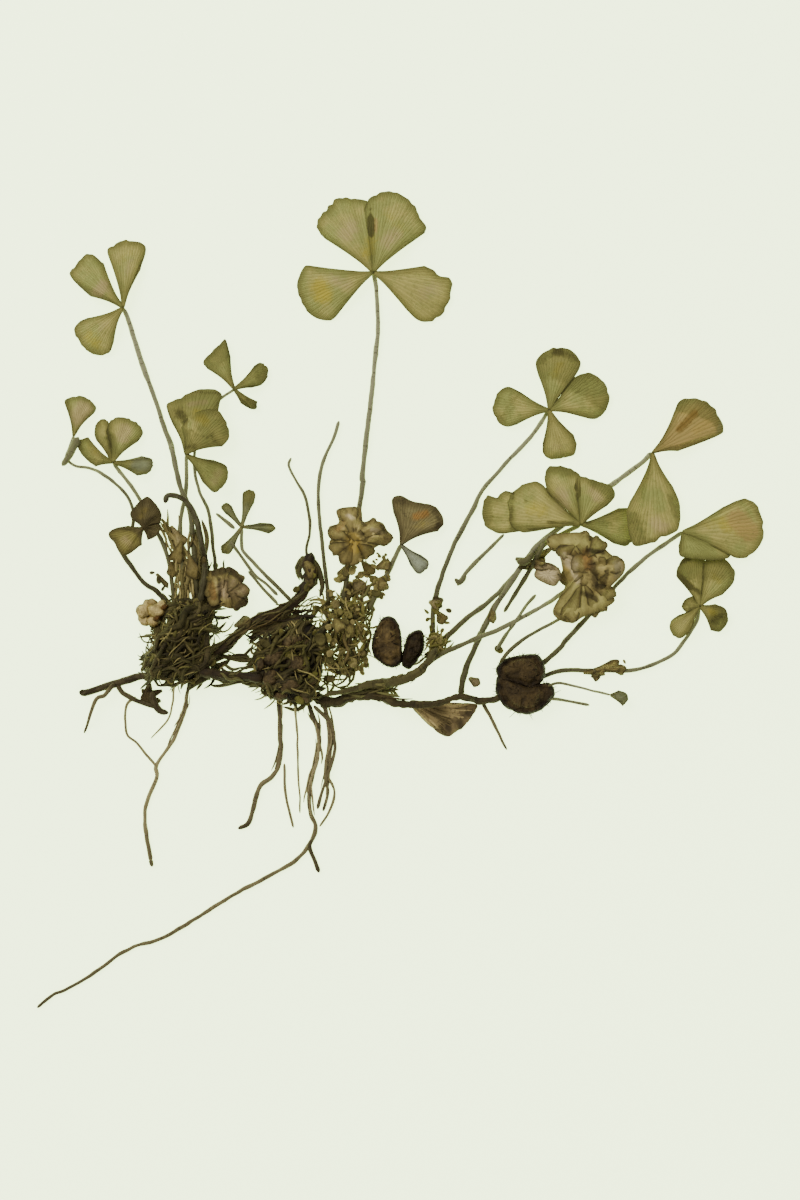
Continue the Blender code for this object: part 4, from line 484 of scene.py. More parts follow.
# Scraps over the right part of the middle tuft and up to the leaf above: the outline they lie in, then a
# count and ranges as above
LITTER = (
    [-6.8, -6, -3.4, -6.4, -2.9, -3, -1.4, 0.8, -0.6, 3.6, -2.2, 4.6, -4.6, 3.6, -6.2, 1.2, -6.8, -2],
    (230, (0.14, 0.44), (0.2, 1), (0.5, 1), (0.1, 0.8)),
)

# Spore cases: a middle, a height, how light the face is, partly its own colour and partly painted light from
# above, and an outline
CASES = {
    "spore_case_left": ((-1.25, -3.6), 1.55, 0.85, [0.05, -2.5, -0.5, -1.5, -1.4, -1.35, -2.15, -2.4, -2.5,
    -3.7, -2.35, -4.9, -1.6, -5.6, -0.8, -5.95, 0, -5.6, 0.2, -4.7]),
    "spore_case_right": ((1.35, -4), 1.5, 0.14, [2.1, -2.8, 1.6, -2.5, 0.95, -2.8, 0.5, -3.5, 0.15, -5.4, 0.5,
    -6, 1.1, -5.9, 2.1, -4.4]),
    "spore_case_upper": ((10.8, -5.9), 1.6, 0.42, [12.9, -5.4, 12.2, -4.7, 11, -4.8, 9.6, -5.1, 8.7, -5.8,
    8.9, -6.9, 10.4, -7.4, 12, -7.8, 13, -6.8]),
    "spore_case_lower": ((10.9, -8.5), 1.6, 0.42, [13.4, -9.1, 13.9, -8.3, 13.5, -7.3, 12, -7.4, 10.4, -6.9,
    8.9, -6.6, 8.6, -8, 9.4, -9.4, 11, -10.1, 12.4, -9.9]),
}

# Bundles of strands: how many, how far they spread, then ranges: length, width, share of the height under
# them, paleness and olive, and last the path that they follow
OLD_STEMS = [
    (8, 0.6, (3.5, 8.5), (0.16, 0.34), (0.3, 1), (0.4, 1), (0, 0.4), [-20.2, -2.6, -20, 1, -21.2, 8.4]),
    (9, 0.6, (3.5, 9.5), (0.16, 0.36), (0.3, 1), (0.2, 1), (0, 0.4), [-19.2, -2.4, -19.1, 1, -19.4, 8.8]),
    (12, 0.5, (3, 8), (0.2, 0.5), (0.3, 1), (0, 0.6), (0, 0.3), [-18.2, -2.4, -17.8, 4, -18.2, 7.4]),
    (8, 0.45, (2, 5), (0.18, 0.36), (0.3, 0.9), (0, 0.3), (0, 0.3), [-17.2, -1.6, -16.8, 0.6, -17, 4.6]),
    (6, 0.42, (2, 5), (0.2, 0.44), (0.6, 1.1), (0.3, 0.85), (0, 0.5), [-21.6, 7.4, -19.8, 4.8, -19, 3]),
    (9, 0.9, (1.2, 3.4), (0.12, 0.3), (0.4, 0.9), (0, 0.15), (0, 0.4), [-23.2, -1.6, -21.6, -3.2, -20.2,
    -4.6]),
    (9, 0.7, (1.2, 3.4), (0.12, 0.34), (0.4, 0.9), (0, 0.15), (0, 0.5), [-23.4, -5.6, -21.8, -6.4, -20.2,
    -7]),
    (8, 0.4, (2, 5), (0.2, 0.42), (0.3, 0.9), (0.1, 0.5), (0, 0.3), [-19.4, -1.5, -19.3, 0.8, -19.2, 3.4]),
]
RHIZOME_STRANDS = [
    (34, 0.28, (1.5, 6), (0.1, 0.3), (0.6, 1.05), (0, 0.35), (0, 0.4), [-21.5, -6.2, -18.2, -5, -15.6, -3.7,
    -12.8, -1.5, -10.6, -0.6, -8.9, 0.6, -7.8, 2.2]),
    (9, 0.34, (2, 6), (0.1, 0.2), (0.95, 1.1), (0.4, 0.85), (0, 0.2), [-17, -3.9, -11, -1.7, -8.8, -0.3, -7.2,
    0.5]),
    (46, 0.5, (1.5, 4.5), (0.16, 0.44), (0.3, 0.9), (0, 0.25), (0, 0.4), [-13.8, -3.6, -11.8, -2.5, -7.4,
    -0.5]),
    (12, 0.3, (1, 2.6), (0.14, 0.34), (0.3, 0.9), (0.1, 0.5), (0.2, 0.8), [-3.8, -8.1, -0.9, -8, 0.4, -8.4]),
    (16, 0.45, (2, 5), (0.14, 0.4), (0.5, 1), (0, 0.2), (0, 0.5), [-17.6, -6.3, -15.4, -6.7, -13.6, -6.6, -12,
    -7]),
    (9, 0.4, (2, 4.5), (0.14, 0.32), (0.4, 1), (0, 0.25), (0, 0.5), [-17, -4.7, -13.9, -5, -12.6, -4.8]),
    (11, 0.22, (2.5, 6), (0.12, 0.28), (0.6, 1), (0, 0.35), (0, 0.4), [-9, -8.3, -6.2, -9, -3.4, -8.5, 2,
    -9.3, 5, -8.7]),
    (30, 0.3, (2, 5), (0.12, 0.28), (0.5, 1), (0.1, 0.8), (0.2, 1), [-6.5, -7.8, -3, -7.9, 1, -6.6, 4.6,
    -2.8]),
    (40, 0.95, (1.5, 5), (0.14, 0.32), (0.25, 0.9), (0.15, 0.85), (0.1, 0.8), [-6.9, -7.2, -5.2, -6.4, -4.4,
    -4.4, -4.3, -2, -3, 2.6]),
    (7, 0.1, (3, 6), (0.3, 0.55), (0.5, 1), (0, 0.12), (0.2, 0.7), [-7.2, 0.2, -7, 1.6, -7.5, 3.2, -8.6, 3.9,
    -9.2, 2.9, -8.8, 1.8]),
]
ROOT_STRANDS = [
    (4, 0.16, (2.5, 5), (0.1, 0.2), (0.6, 1), (0.2, 0.6), (0, 0.2), [-10.6, -8.6, -10.8, -13.6, -11.6,
    -15.8]),
    (9, 0.3, (3, 7), (0.12, 0.26), (0.4, 1), (0.15, 0.8), (0, 0.4), [-8.4, -8.8, -7.4, -11.4, -7.4, -14, -8.1,
    -17, -7.7, -20]),
    (6, 0.22, (3, 6), (0.12, 0.24), (0.4, 1), (0.1, 0.6), (0, 0.3), [-6.9, -8.8, -6.2, -10.8, -6.1, -12.8, -7,
    -18.4]),
    (4, 0.2, (2.5, 5), (0.09, 0.16), (0.5, 1), (0.4, 0.9), (0, 0.2), [-19, -7.2, -19.3, -9.6, -21.8, -14.8]),
]

# Loose scraps: a place, a size, a paleness and how olive each is
SCRAPS = [
    (-1.5, 1.5, 0.4, 0.7, 0.4), (-2.1, 0.8, 0.45, 0.1, 0.4), (-4.9, 2.6, 0.4, 0.25, 0.3), (3.2, -0.9, 0.35,
    0.65, 0.9), (3.9, -1.4, 0.35, 0.55, 1), (4.4, -0.8, 0.28, 0.1, 0.4), (3.6, -0.4, 0.24, 0.05, 0.4), (4.2,
    -1.9, 0.3, 0.7, 0.8), (3, -1.7, 0.28, 0.1, 0.7), (2.4, -0.9, 0.3, 0.6, 0.9), (2.8, -2.4, 0.3, 0.5, 1),
    (3.8, -2.6, 0.26, 0.6, 0.8), (2.5, -1.6, 0.24, 0.1, 0.8), (3.4, -0.2, 0.3, 0.5, 1), (6.5, -7, 0.34, 0.85,
    0.6), (7, -7.4, 0.26, 0.8, 0.5), (-6.8, -9.4, 0.42, 0.05, 0.2), (-22.3, 2.6, 0.26, 0.2, 0.2), (-21.7, 1.9,
    0.34, 0.15, 0.3), (-21.3, 1.2, 0.28, 0.1, 0.2), (8, -1.3, 0.28, 0.6, 0.9), (8.9, -4.3, 0.42, 0.1, 0.8),
    (17.6, -6.9, 0.26, 0.5, 0.1), (20.2, -5.4, 0.22, 0.6, 0.1), (-7.9, 2.3, 0.4, 0.35, 0.9), (-8.3, 1.3, 0.44,
    0.05, 0.5), (-9.3, 1.1, 0.36, 0.05, 0.5), (-22.9, -8.2, 0.44, 0.05, 0.5), (-22, -8.9, 0.5, 0.02, 0.4),
    (11.8, 3.2, 0.42, 0.1, 0.2), (-16.6, 3.2, 0.32, 0.15, 0.2), (-6.5, -0.2, 0.3, 0.02, 0.2), (-6, -0.9, 0.26,
    0.02, 0.2), (-4, -1.4, 0.26, 0.02, 0.2), (-2.7, -0.2, 0.26, 0.02, 0.2), (-28.5, -8.2, 0.36, 0.05, 0.2),
    (11, 3.1, 0.4, 0.05, 0.2),
]

# The lobes of the left bud and its dark eyes, as the bodies above
BUD_LOBES = [
    ((-22.9, -0.8), 0.85, 0.7, 30, 1.3), ((-21.9, -0.8), 0.85, 0.65, -20, 1.7), ((-23, -1.6), 0.65, 0.5, -40,
    1), ((-22.1, -1.7), 0.7, 0.5, 10, 1.4), ((-22.4, -0.2), 0.7, 0.45, 0, 1.2), ((-21.4, -0.3), 0.5, 0.4, 40,
    1.6),
]
BUD_EYES = [
    ((-21.8, -1.5), 0.4, 0.3, 30, 1.75), ((-21.1, -0.5), 0.4, 0.3, 30, 1.8),
]

# The bud scale: its middle, height and paleness, the apex, the outer edge and the number of its fan of ribs,
# the rest of its outline, and the two pale stripes on it, each from a start to an end with a half width
SCALE_HUB = (3.9, -10.3)
SCALE_HEIGHT = 0.42
SCALE_TONE = 0.25
SCALE_APEX = (0.8, -9.05)
SCALE_EDGE = [2.7, -11.2, 4.1, -12.1, 4.9, -11.8, 5.9, -11.1, 6.7, -10, 6.8, -9.2]
SCALE_BACK = [4.2, -9.1, 2.4, -9]
SCALE_RIBS = 21
SCALE_LIGHT = [((1.8, -9.8), (3.2, -11), 0.42), ((4.9, -9.8), (6.1, -10.1), 0.8)]


# Numbers and curves


def noise(points, size, seed, cells=64):
    """Smooth noise from -1 to 1: random values at the corners of square cells, blended by the smoothstep of
    the place in its cell. It repeats after a number of cells."""
    table = np.random.default_rng(seed).uniform(-1, 1, (cells, cells))
    place = np.asarray(points) / size
    cell = np.floor(place).astype(int)
    part = place - cell
    part = part * part * (3 - 2 * part)
    x, y = part[..., 0], part[..., 1]
    i, j = cell[..., 0] % cells, cell[..., 1] % cells
    right, above = (i + 1) % cells, (j + 1) % cells
    near = table[i, j] * (1 - x) + table[right, j] * x
    far = table[i, above] * (1 - x) + table[right, above] * x
    return near * (1 - y) + far * y


def line_noise(along, size, seed, beside=0.37):
    """The same noise along a line that runs a share of a cell beside the cells' corners."""
    return noise(np.stack((along, np.full_like(along, beside * size)), axis=-1), size, seed)


def unit(vectors):
    """Each vector over its length."""
    return vectors / np.maximum(np.linalg.norm(vectors, axis=-1, keepdims=True), TINY)


def heading(angle):
    """The flat unit vector at each angle, its cosine and sine."""
    return np.stack((np.cos(angle), np.sin(angle)), axis=-1)


def turned(vectors):
    """Flat vectors turned left by a right angle."""
    return np.stack((-vectors[..., 1], vectors[..., 0]), axis=-1)


def cross(first, second):
    """Twice the signed area between flat vectors."""
    return first[..., 0] * second[..., 1] - first[..., 1] * second[..., 0]


def raised(xy, heights):
    """Flat places with a height each."""
    return np.concatenate((xy, heights[..., None]), axis=-1)


def running_length(points):
    """The length of each path up to each of its points."""
    steps = np.linalg.norm(np.diff(points, axis=-2), axis=-1)
    return np.concatenate((0 * steps[..., :1], steps.cumsum(axis=-1)), axis=-1)


def pairs(numbers):
    """Places from numbers that are x and y in turn."""
    return np.array(numbers, dtype=float).reshape(-1, 2)


def smooth_curve(points, count, closed=False, steps=24):
    """count points spaced evenly on a smooth curve: between two given points it is the cubic whose slope at
    each is half of the step between that point's neighbours, worked out in a number of steps."""
    points = pairs(points)
    if closed:
        ends = np.vstack((points[-1], points, points[:2]))
    else:
        ends = np.vstack((2 * points[0] - points[1], points, 2 * points[-1] - points[-2]))
    a, b, c, d = (ends[i : len(ends) - 3 + i, None] for i in range(4))
    t = np.linspace(0, 1, steps, endpoint=False)[:, None]
    curve = 0.5 * (2 * b + (c - a) * t + (2 * a - 5 * b + 4 * c - d) * t**2 + (3 * b - a - 3 * c + d) * t**3)
    curve = np.vstack((curve.reshape(-1, 2), ends[-2]))
    along = running_length(curve)
    wanted = np.linspace(0, along[-1], count, endpoint=not closed)
    return np.stack([np.interp(wanted, along, axis) for axis in curve.T], axis=1)


def length_of(points):
    """The length of one path, straight from point to point."""
    return running_length(pairs(points))[-1]


def from_segment(xy, start, end):
    """The distance of each place from the line between two points: from its foot on that line, held to the
    ends."""
    start, end = np.array(start), np.array(end)
    run = end - start
    share = np.clip(((xy - start) @ run) / max(run @ run, TINY), 0, 1)
    return np.linalg.norm(xy - (start + share[..., None] * run), axis=-1)


def near_line(xy, start, end, width):
    """1 on the line between two points, fading as the exponential of minus the square of the distance from
    it over a width."""
    return np.exp(-((from_segment(xy, start, end) / width) ** 2))


def wavering(xy, amount, seed, held=1.5):
    """A flat path pushed sideways by noise along its length, and that length. Within a length held of each
    end the push shrinks to nothing."""
    along = running_length(xy)
    hold = np.clip(np.minimum(along, along[-1] - along) / held, 0, 1)
    push = amount * hold * (line_noise(along, 2.1, seed) + 0.5 * line_noise(along, 0.7, seed + 1))
    return xy + push[:, None] * turned(unit(np.gradient(xy, axis=0))), along


def evened(heights, weights):
    """Heights along paths, each the weighted mean of those about it, with the end ones repeated."""
    half, count = len(weights) // 2, heights.shape[-1]
    padded = np.pad(heights, [(0, 0)] * (heights.ndim - 1) + [(half, half)], mode="edge")
    return sum(weight * padded[..., i : i + count] for i, weight in enumerate(weights)) / sum(weights)


def tapered(share, loss, power):
    """The width left at each share of a strand's length: 1 less a loss times a power of the distance from
    its middle, which is 1 at its ends."""
    return 1 - loss * np.abs(2 * share - 1) ** power


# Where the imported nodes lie


def triangles_of(node):
    """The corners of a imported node's triangles, in millimetres."""
    mesh = frame["nodes"][node].data
    points = np.empty(len(mesh.vertices) * 3)
    mesh.vertices.foreach_get("co", points)
    corners = np.empty(len(mesh.loops), dtype=int)
    mesh.loops.foreach_get("vertex_index", corners)
    return points.reshape(-1, 3)[corners].reshape(-1, 3, 3) / MM


def sheet_height(node, thickness, xy, lift=0.0, least_area=1e-4):
    """The height of the middle of a node's sheet at each place. Of the triangles that face up, each place
    takes the one where its smallest corner weight is largest, and the height is the corners' heights by
    those weights."""
    corners = triangles_of(node)
    area = cross(corners[:, 1] - corners[:, 0], corners[:, 2] - corners[:, 0])
    corners, area = corners[area > least_area], area[area > least_area]
    a, b, c = corners[:, 0, :2], corners[:, 1, :2], corners[:, 2, :2]
    apart = xy.reshape(-1, 1, 2) - a
    weight_b, weight_c = cross(apart, c - a) / area, cross(b - a, apart) / area
    weights = np.stack((1 - weight_b - weight_c, weight_b, weight_c), axis=-1)
    best = weights.min(axis=-1).argmax(axis=1)
    chosen = np.clip(weights[np.arange(len(best)), best], 0, 1)
    heights = (chosen * corners[best, :, 2]).sum(axis=1) / chosen.sum(axis=1)
    return heights.reshape(xy.shape[:-1]) - thickness / 2 + lift


def strand_height(node, xy, reach=0.7):
    """The height of the middle of a node's strand: the mean height of its corners, each weighted by the
    exponential of minus the square of its distance over the reach."""
    corners = triangles_of(node).reshape(-1, 3)
    apart = ((xy[:, None] - corners[:, :2]) ** 2).sum(axis=2)
    weight = np.exp((apart.min(axis=1, keepdims=True) - apart) / reach**2)
    return (weight * corners[:, 2]).sum(axis=1) / weight.sum(axis=1)


class Bed:
    """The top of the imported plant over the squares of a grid: the height of the highest node over each,
    spread to the squares about it and then evened out. HALF is half the grid's side, CELL the side of a
    square, STEPS the samples along each side of a triangle, and REACH how many squares it spreads."""

    HALF = 40.0
    CELL = 0.1
    STEPS = 14
    REACH = 2

    def __init__(self):
        steps = self.STEPS
        weights = [(i, j, steps - i - j) for i in range(steps + 1) for j in range(steps + 1 - i)]
        corners = np.concatenate([triangles_of(node) for node in frame["nodes"]])
        samples = np.einsum("sw,twc->tsc", np.array(weights) / steps, corners).reshape(-1, 3)
        self.top = np.zeros((round(2 * self.HALF / self.CELL),) * 2)
        np.maximum.at(self.top, self.cells(samples), samples[:, 2])
        for pick in (np.max, np.mean):
            for axis in (0, 1):
                near = [np.roll(self.top, shift, axis) for shift in range(-self.REACH, self.REACH + 1)]
                self.top = pick(near, axis=0)

    def cells(self, points):
        """The numbers of the square under each point."""
        index = np.floor((points[..., :2] + self.HALF) / self.CELL).astype(int)
        return index[..., 0], index[..., 1]

    def height(self, points):
        """The top of the plant under each point."""
        return self.top[self.cells(points)]


bed = Bed()


def over_plant(xy, lift=0.08):
    """A little over the top of the plant, for bits that lie on it."""
    return bed.height(xy) + lift


def resting(radii, share=0.85, gap=0.01):
    """The height of the middle of a strand that rests on the floor: a share of its radius, and a gap."""
    return share * radii + gap


# Surfaces


class Surface:
    """Points in millimetres, groups of faces as point numbers, the map places of their corners, and values
    at the points."""

    def __init__(self, points, faces, places, values):
        self.points = points
        self.faces = faces
        self.places = places
        self.values = values

    def outward(self):
        """Turns all faces round if the volume that they enclose, by signed tetrahedra from the middle, is
        negative."""
        volume = 0.0
        for faces in self.faces:
            corners = self.points[faces] - self.points.mean(axis=0)
            for i in range(1, faces.shape[1] - 1):
                volume += np.einsum("ij,ij->", corners[:, 0], np.cross(corners[:, i], corners[:, i + 1]))
        if volume < 0:
            self.faces = [faces[:, ::-1] for faces in self.faces]
            self.places = [places[:, ::-1] for places in self.places]
        return self


def joined(surfaces):
    """Several surfaces as one, with the values that the first of them has."""
    start = np.cumsum([0] + [len(surface.points) for surface in surfaces])
    points = np.concatenate([surface.points for surface in surfaces])
    faces = [faces + first for surface, first in zip(surfaces, start) for faces in surface.faces]
    places = [places for surface in surfaces for places in surface.places]
    values = {}
    for name in surfaces[0].values:
        values[name] = np.concatenate([surface.values[name] for surface in surfaces])
    return Surface(points, faces, places, values)


def squares(grid):
    """The four corners of each square of a grid, in turn."""
    corners = (grid[..., :-1, :-1], grid[..., :-1, 1:], grid[..., 1:, 1:], grid[..., 1:, :-1])
    return np.stack(corners, axis=-1).reshape(-1, 4)


def capped(grids, first, last):
    """The corners of the squares of grids whose rows are rings, and of the triangles from their first and
    last rings to a pole each, all turned the same way."""
    groups = [squares(grids)]
    for ring, pole, turn in ((grids[:, 0], first, -1), (grids[:, -1], last, 1)):
        corners = np.broadcast_arrays(pole, ring[:, :-1], ring[:, 1:])
        groups.append(np.stack(corners, axis=-1).reshape(-1, 3)[:, ::turn])
    return groups


def thin_shell(xy, upper, lower, across, along, values):
    """A closed sheet from a grid of places: an upper and a lower side that share the points of the grid's
    rim."""
    rows, columns = upper.shape
    over = np.arange(upper.size).reshape(rows, columns)
    under = over.copy()
    inner = np.s_[1:-1, 1:-1]
    under[inner] = upper.size + np.arange((rows - 2) * (columns - 2)).reshape(rows - 2, columns - 2)
    points = np.concatenate((raised(xy, upper).reshape(-1, 3), raised(xy, lower)[inner].reshape(-1, 3)))
    places = np.stack([squares(part) for part in np.broadcast_arrays(across[:, None], along)], axis=-1)
    both = {name: np.concatenate((value.ravel(), value[inner].ravel())) for name, value in values.items()}
    faces = [squares(over), squares(under)[:, ::-1]]
    return Surface(points, faces, [places, places[:, ::-1]], both).outward()


def tubes(rings, poles, around, along, values):
    """Closed tubes, all of one number of rings and sides: squares between neighbouring rings, and a fan to
    the pole at each end. The map runs round and along them, and the values are spread over the rings."""
    count, steps, sides = rings.shape[:3]
    index = np.arange(count * steps * sides).reshape(count, steps, sides)
    index = np.concatenate((index, index[..., :1]), axis=-1)
    pole = count * steps * sides + np.arange(2 * count).reshape(2, count, 1)
    maps = [np.broadcast_to(part, index.shape) for part in (around, along[..., None])]
    places = zip(*(capped(part, part[:, 0, :-1], part[:, -1, :-1]) for part in maps))
    places = [np.stack(pair, axis=-1) for pair in places]
    at_points = {}
    for name, value in values.items():
        value = np.broadcast_to(value, rings.shape[:3])
        at_points[name] = np.concatenate((value.ravel(), value[:, 0, 0], value[:, -1, 0]))
    points = np.concatenate((rings.reshape(-1, 3), poles.reshape(-1, 3)))
    return Surface(points, capped(index, *pole), places, at_points).outward()


MARK_KINDS = ("dark", "gold", "pink", "rust", "rustdark", "grey", "pale", "olive", "shade")


def marked(xy, marks):
    """For each kind of mark, its strength at each place, and the lift of all marks together."""
    kinds = {kind: np.zeros(xy.shape[:-1]) for kind in MARK_KINDS}
    lift = np.zeros(xy.shape[:-1])
    for kind, strokes in marks.items():
        for x_0, y_0, x_1, y_1, width, strength, *height in strokes:
            fade = near_line(xy, (x_0, y_0), (x_1, y_1), width)
            kinds[kind] += strength * fade
            lift += sum(height) * fade
    return kinds, lift


def smoothed(heights, passes=6):
    """Each height as the mean of its four neighbours, several times over. The grid's rims follow the rows
    inside them, but for the one at the hub, which stays."""
    heights = heights.copy()
    for _ in range(passes):
        neighbours = heights[:-2, 1:-1] + heights[2:, 1:-1] + heights[1:-1, :-2] + heights[1:-1, 2:]
        heights[1:-1, 1:-1] = neighbours / 4
        heights[[0, -1], 1:-1] = heights[[1, -2], 1:-1]
        heights[:, -1] = heights[:, -2]
    return heights


def sides_of(middle, edge, leaf, strip=0.08):
    """The heights of a sheet's two sides about its middle: they draw together over a strip at its edge, and
    stay a gap over the floor."""
    half = 0.5 * leaf.thickness / MM * (1 - np.exp(-edge / strip))
    middle = middle + np.maximum(FLOOR_GAP - (middle - half), 0)
    return middle + half, middle - half


def leaflet(ground, hub, rim_points, order, marks, leaf, fold, crinkle, waist, seed):
    """One blade of a leaf. A point is at a share of the way from the hub to the rim, and its angle from the
    blade's middle is narrowed towards the hub. The blade lies at the ground's height, with folds that fan
    out from the hub as a sine of the place across it, crumples of noise, a margin that waves, and the lift
    of its marks."""
    rows, columns = BLADE_GRID
    behind, neck_half, neck_length, step_up = 0.01, 0.13, 0.9, 0.05
    away = smooth_curve(rim_points, rows) - hub
    across = np.linspace(0, 1, rows)[:, None]
    uneven = 1 + leaf.margin_wave * line_noise(across, 0.045, seed)
    middle = math.atan2(*unit(away).mean(axis=0)[::-1])
    turn = (np.arctan2(away[:, 1:], away[:, :1]) - middle + math.pi) % (2 * math.pi) - math.pi
    share = (1 + behind) * (1 - (1 - np.linspace(0, 1, columns)) ** 1.5) - behind
    reach = np.linalg.norm(away, axis=1, keepdims=True) * uneven * share
    neck = neck_half * np.exp(-((reach / neck_length) ** 2)) * (2 * across - 1)
    xy = hub + reach[..., None] * heading(middle + turn * (1 - waist * (1 - share)))
    xy = xy + neck[..., None] * turned(heading(middle))

    edge = np.linalg.norm(xy[:, :, None] - np.concatenate((xy[0], xy[-1], xy[:, -1])), axis=-1).min(axis=-1)
    kinds, lift = marked(xy, marks)
    phase = np.random.default_rng(seed).uniform(0, 2 * math.pi)
    waves = 2.4 * line_noise(across + 0 * share, 0.21, seed + 1)
    folds = fold * share * np.sin(2 * math.pi * leaf.fold_count * across + phase + waves)
    curl = leaf.curl / MM * np.exp(-edge / 0.5) * noise(xy, 1.7, seed + 2)
    dents = 0.8 * noise(xy, 0.8, seed + 3) + 0.5 * noise(xy, 0.35, seed + 5)
    crumple = crinkle * (dents - np.abs(noise(xy, 1.1, seed + 6)))
    height = smoothed(ground(xy)) + folds + curl + crumple + lift + step_up * order * share
    tone = np.full_like(edge, np.random.default_rng(seed + 4).uniform(-1, 1))
    # How deep a place lies in the troughs of the folds and crumples: painted shade there
    hollow = np.clip(-(folds + crumple) / (fold + crinkle), 0, 1) * share
    values = {**kinds, "tone": tone, "hollow": hollow, "edge": edge}
    return thin_shell(xy, *sides_of(height, edge, leaf), across[:, 0], share, values)


def wedge(x, y, degrees, length, spread):
    """The hub and the outer edge of a wedge-shaped lobe: an arc about its hub, shorter towards its sides."""
    hub = np.array((x, y))
    share = np.linspace(-1, 1, 9)
    reach = length * (1 - 0.24 * share**4 + 0.05 * np.sin(5 * share + degrees))
    return hub, hub + reach[:, None] * heading(np.radians(degrees + spread / 2 * share))


def rays(hub, outline, rows, share):
    """Rings of places at shares of the way from a hub to a closed outline, and that way."""
    away = smooth_curve(outline, rows, closed=True) - hub
    return hub + share[..., None] * away, away


def crumpled_sheet(node, hub, outline, height, marks, leaf, seed):
    """The crumpled middle of a dry leaf: a disc whose pleats are the absolute sine of the angle, bent by
    noise, and rise towards a dome in its middle, with smaller dents on them. It is one closed tube, from
    the pole of its upper side over its rim to the pole of its lower side."""
    rows, columns = CRUMPLE_GRID
    start, pleats, pull = 0.03, 9, 0.16
    share = start + (1 - start) * (1 - (1 - np.linspace(0, 1, columns)[:, None]) ** 1.3)
    xy, _ = rays(hub, outline, rows, share)
    shift = np.stack((noise(xy, 0.9, seed), noise(xy, 0.9, seed + 1)), axis=-1)
    xy = xy + pull * shift * np.sin(math.pi * share)[..., None]
    edge = np.linalg.norm(xy[:, :, None] - xy[-1], axis=-1).min(axis=-1)
    kinds, lift = marked(xy, marks)
    pleat = np.abs(np.sin(pleats * math.pi * np.arange(rows) / rows + 1.6 * noise(xy, 2.0, seed + 2)))
    dents = noise(xy, 0.75, seed + 3)
    dome = 1 - share**2
    relief = height * (0.55 * dome + 0.15 * share * pleat + 0.45 * dents) + lift
    ground = sheet_height(node, SOLID_CRUMPLED, xy) - 0.5 * height * dome
    upper, lower = sides_of(ground + relief - relief.min(), edge, leaf)
    # The troughs between the pleats and dents get painted shade
    values = {**kinds, "tone": 0 * edge, "hollow": np.clip(1 - pleat - 0.6 * dents, 0, 1), "edge": edge}
    values = {name: np.concatenate((value, value[-2::-1])) for name, value in values.items()}
    rings = np.concatenate((raised(xy, upper), raised(xy, lower)[-2::-1]))
    along = np.concatenate((share, share[-2::-1]))[:, 0]
    return spun(rings, along, values)


def spun(rings, along, values):
    """One closed tube from its rings, with a pole in the middle of its first and of its last ring."""
    poles = rings[[0, -1]].mean(axis=1)
    return tubes(rings[None], poles, np.linspace(0, 1, rings.shape[1] + 1), along, values)


def lump(hub, outline, height, seed, roughness, swell, ridges=0.0, hollow_rim=0.0):
    """A rounded body on a flat underside. Round it run the points of its outline. Up it runs an angle from
    straight down to straight up: the share of the outline is a power of its cosine, and the height a power
    of its sine. The skin is pushed out by noise, and creased where a second noise crosses zero. The hollow_rim
    is a dent round the upper side. Its dents and creases carry painted shade."""
    rows, columns = LUMP_GRID
    outline_power, height_power, rim_place, rim_width = 0.62, 0.8, 0.72, 0.09
    slope = np.linspace(-0.5, 0.5, columns + 2)[1:-1, None] * math.pi
    share = np.cos(slope) ** outline_power
    level = 0.5 + 0.5 * np.sign(slope) * np.abs(np.sin(slope)) ** height_power
    xy, away = rays(hub, outline, rows, share)
    bumps = noise(xy, 0.55, seed) + 0.6 * noise(xy, 0.27, seed + 1)
    creases = np.exp(-((noise(xy, 0.62, seed + 5) / 0.16) ** 2))
    dent = hollow_rim * np.exp(-(((share - rim_place) / rim_width) ** 2)) * (level > 0.5)
    rise = height * (1 + swell * noise(xy, 1.6, seed + 2)) + roughness * bumps - ridges * creases
    skin = np.stack((3 * xy[..., 0] + 5 * level, 3 * xy[..., 1]), axis=-1)
    push = 0.8 * roughness * noise(skin, 0.9, seed + 3)
    rings = raised(xy + push[..., None] * unit(away), FLOOR_GAP + np.maximum(level * rise - dent, 0))
    # Painted shade in the dents and creases of the skin
    values = {"tone": 0.0, "hollow": np.clip(-bumps + (ridges > 0) * creases, 0, 1), "olive": 0.0}
    return spun(rings, level[:, 0], values)


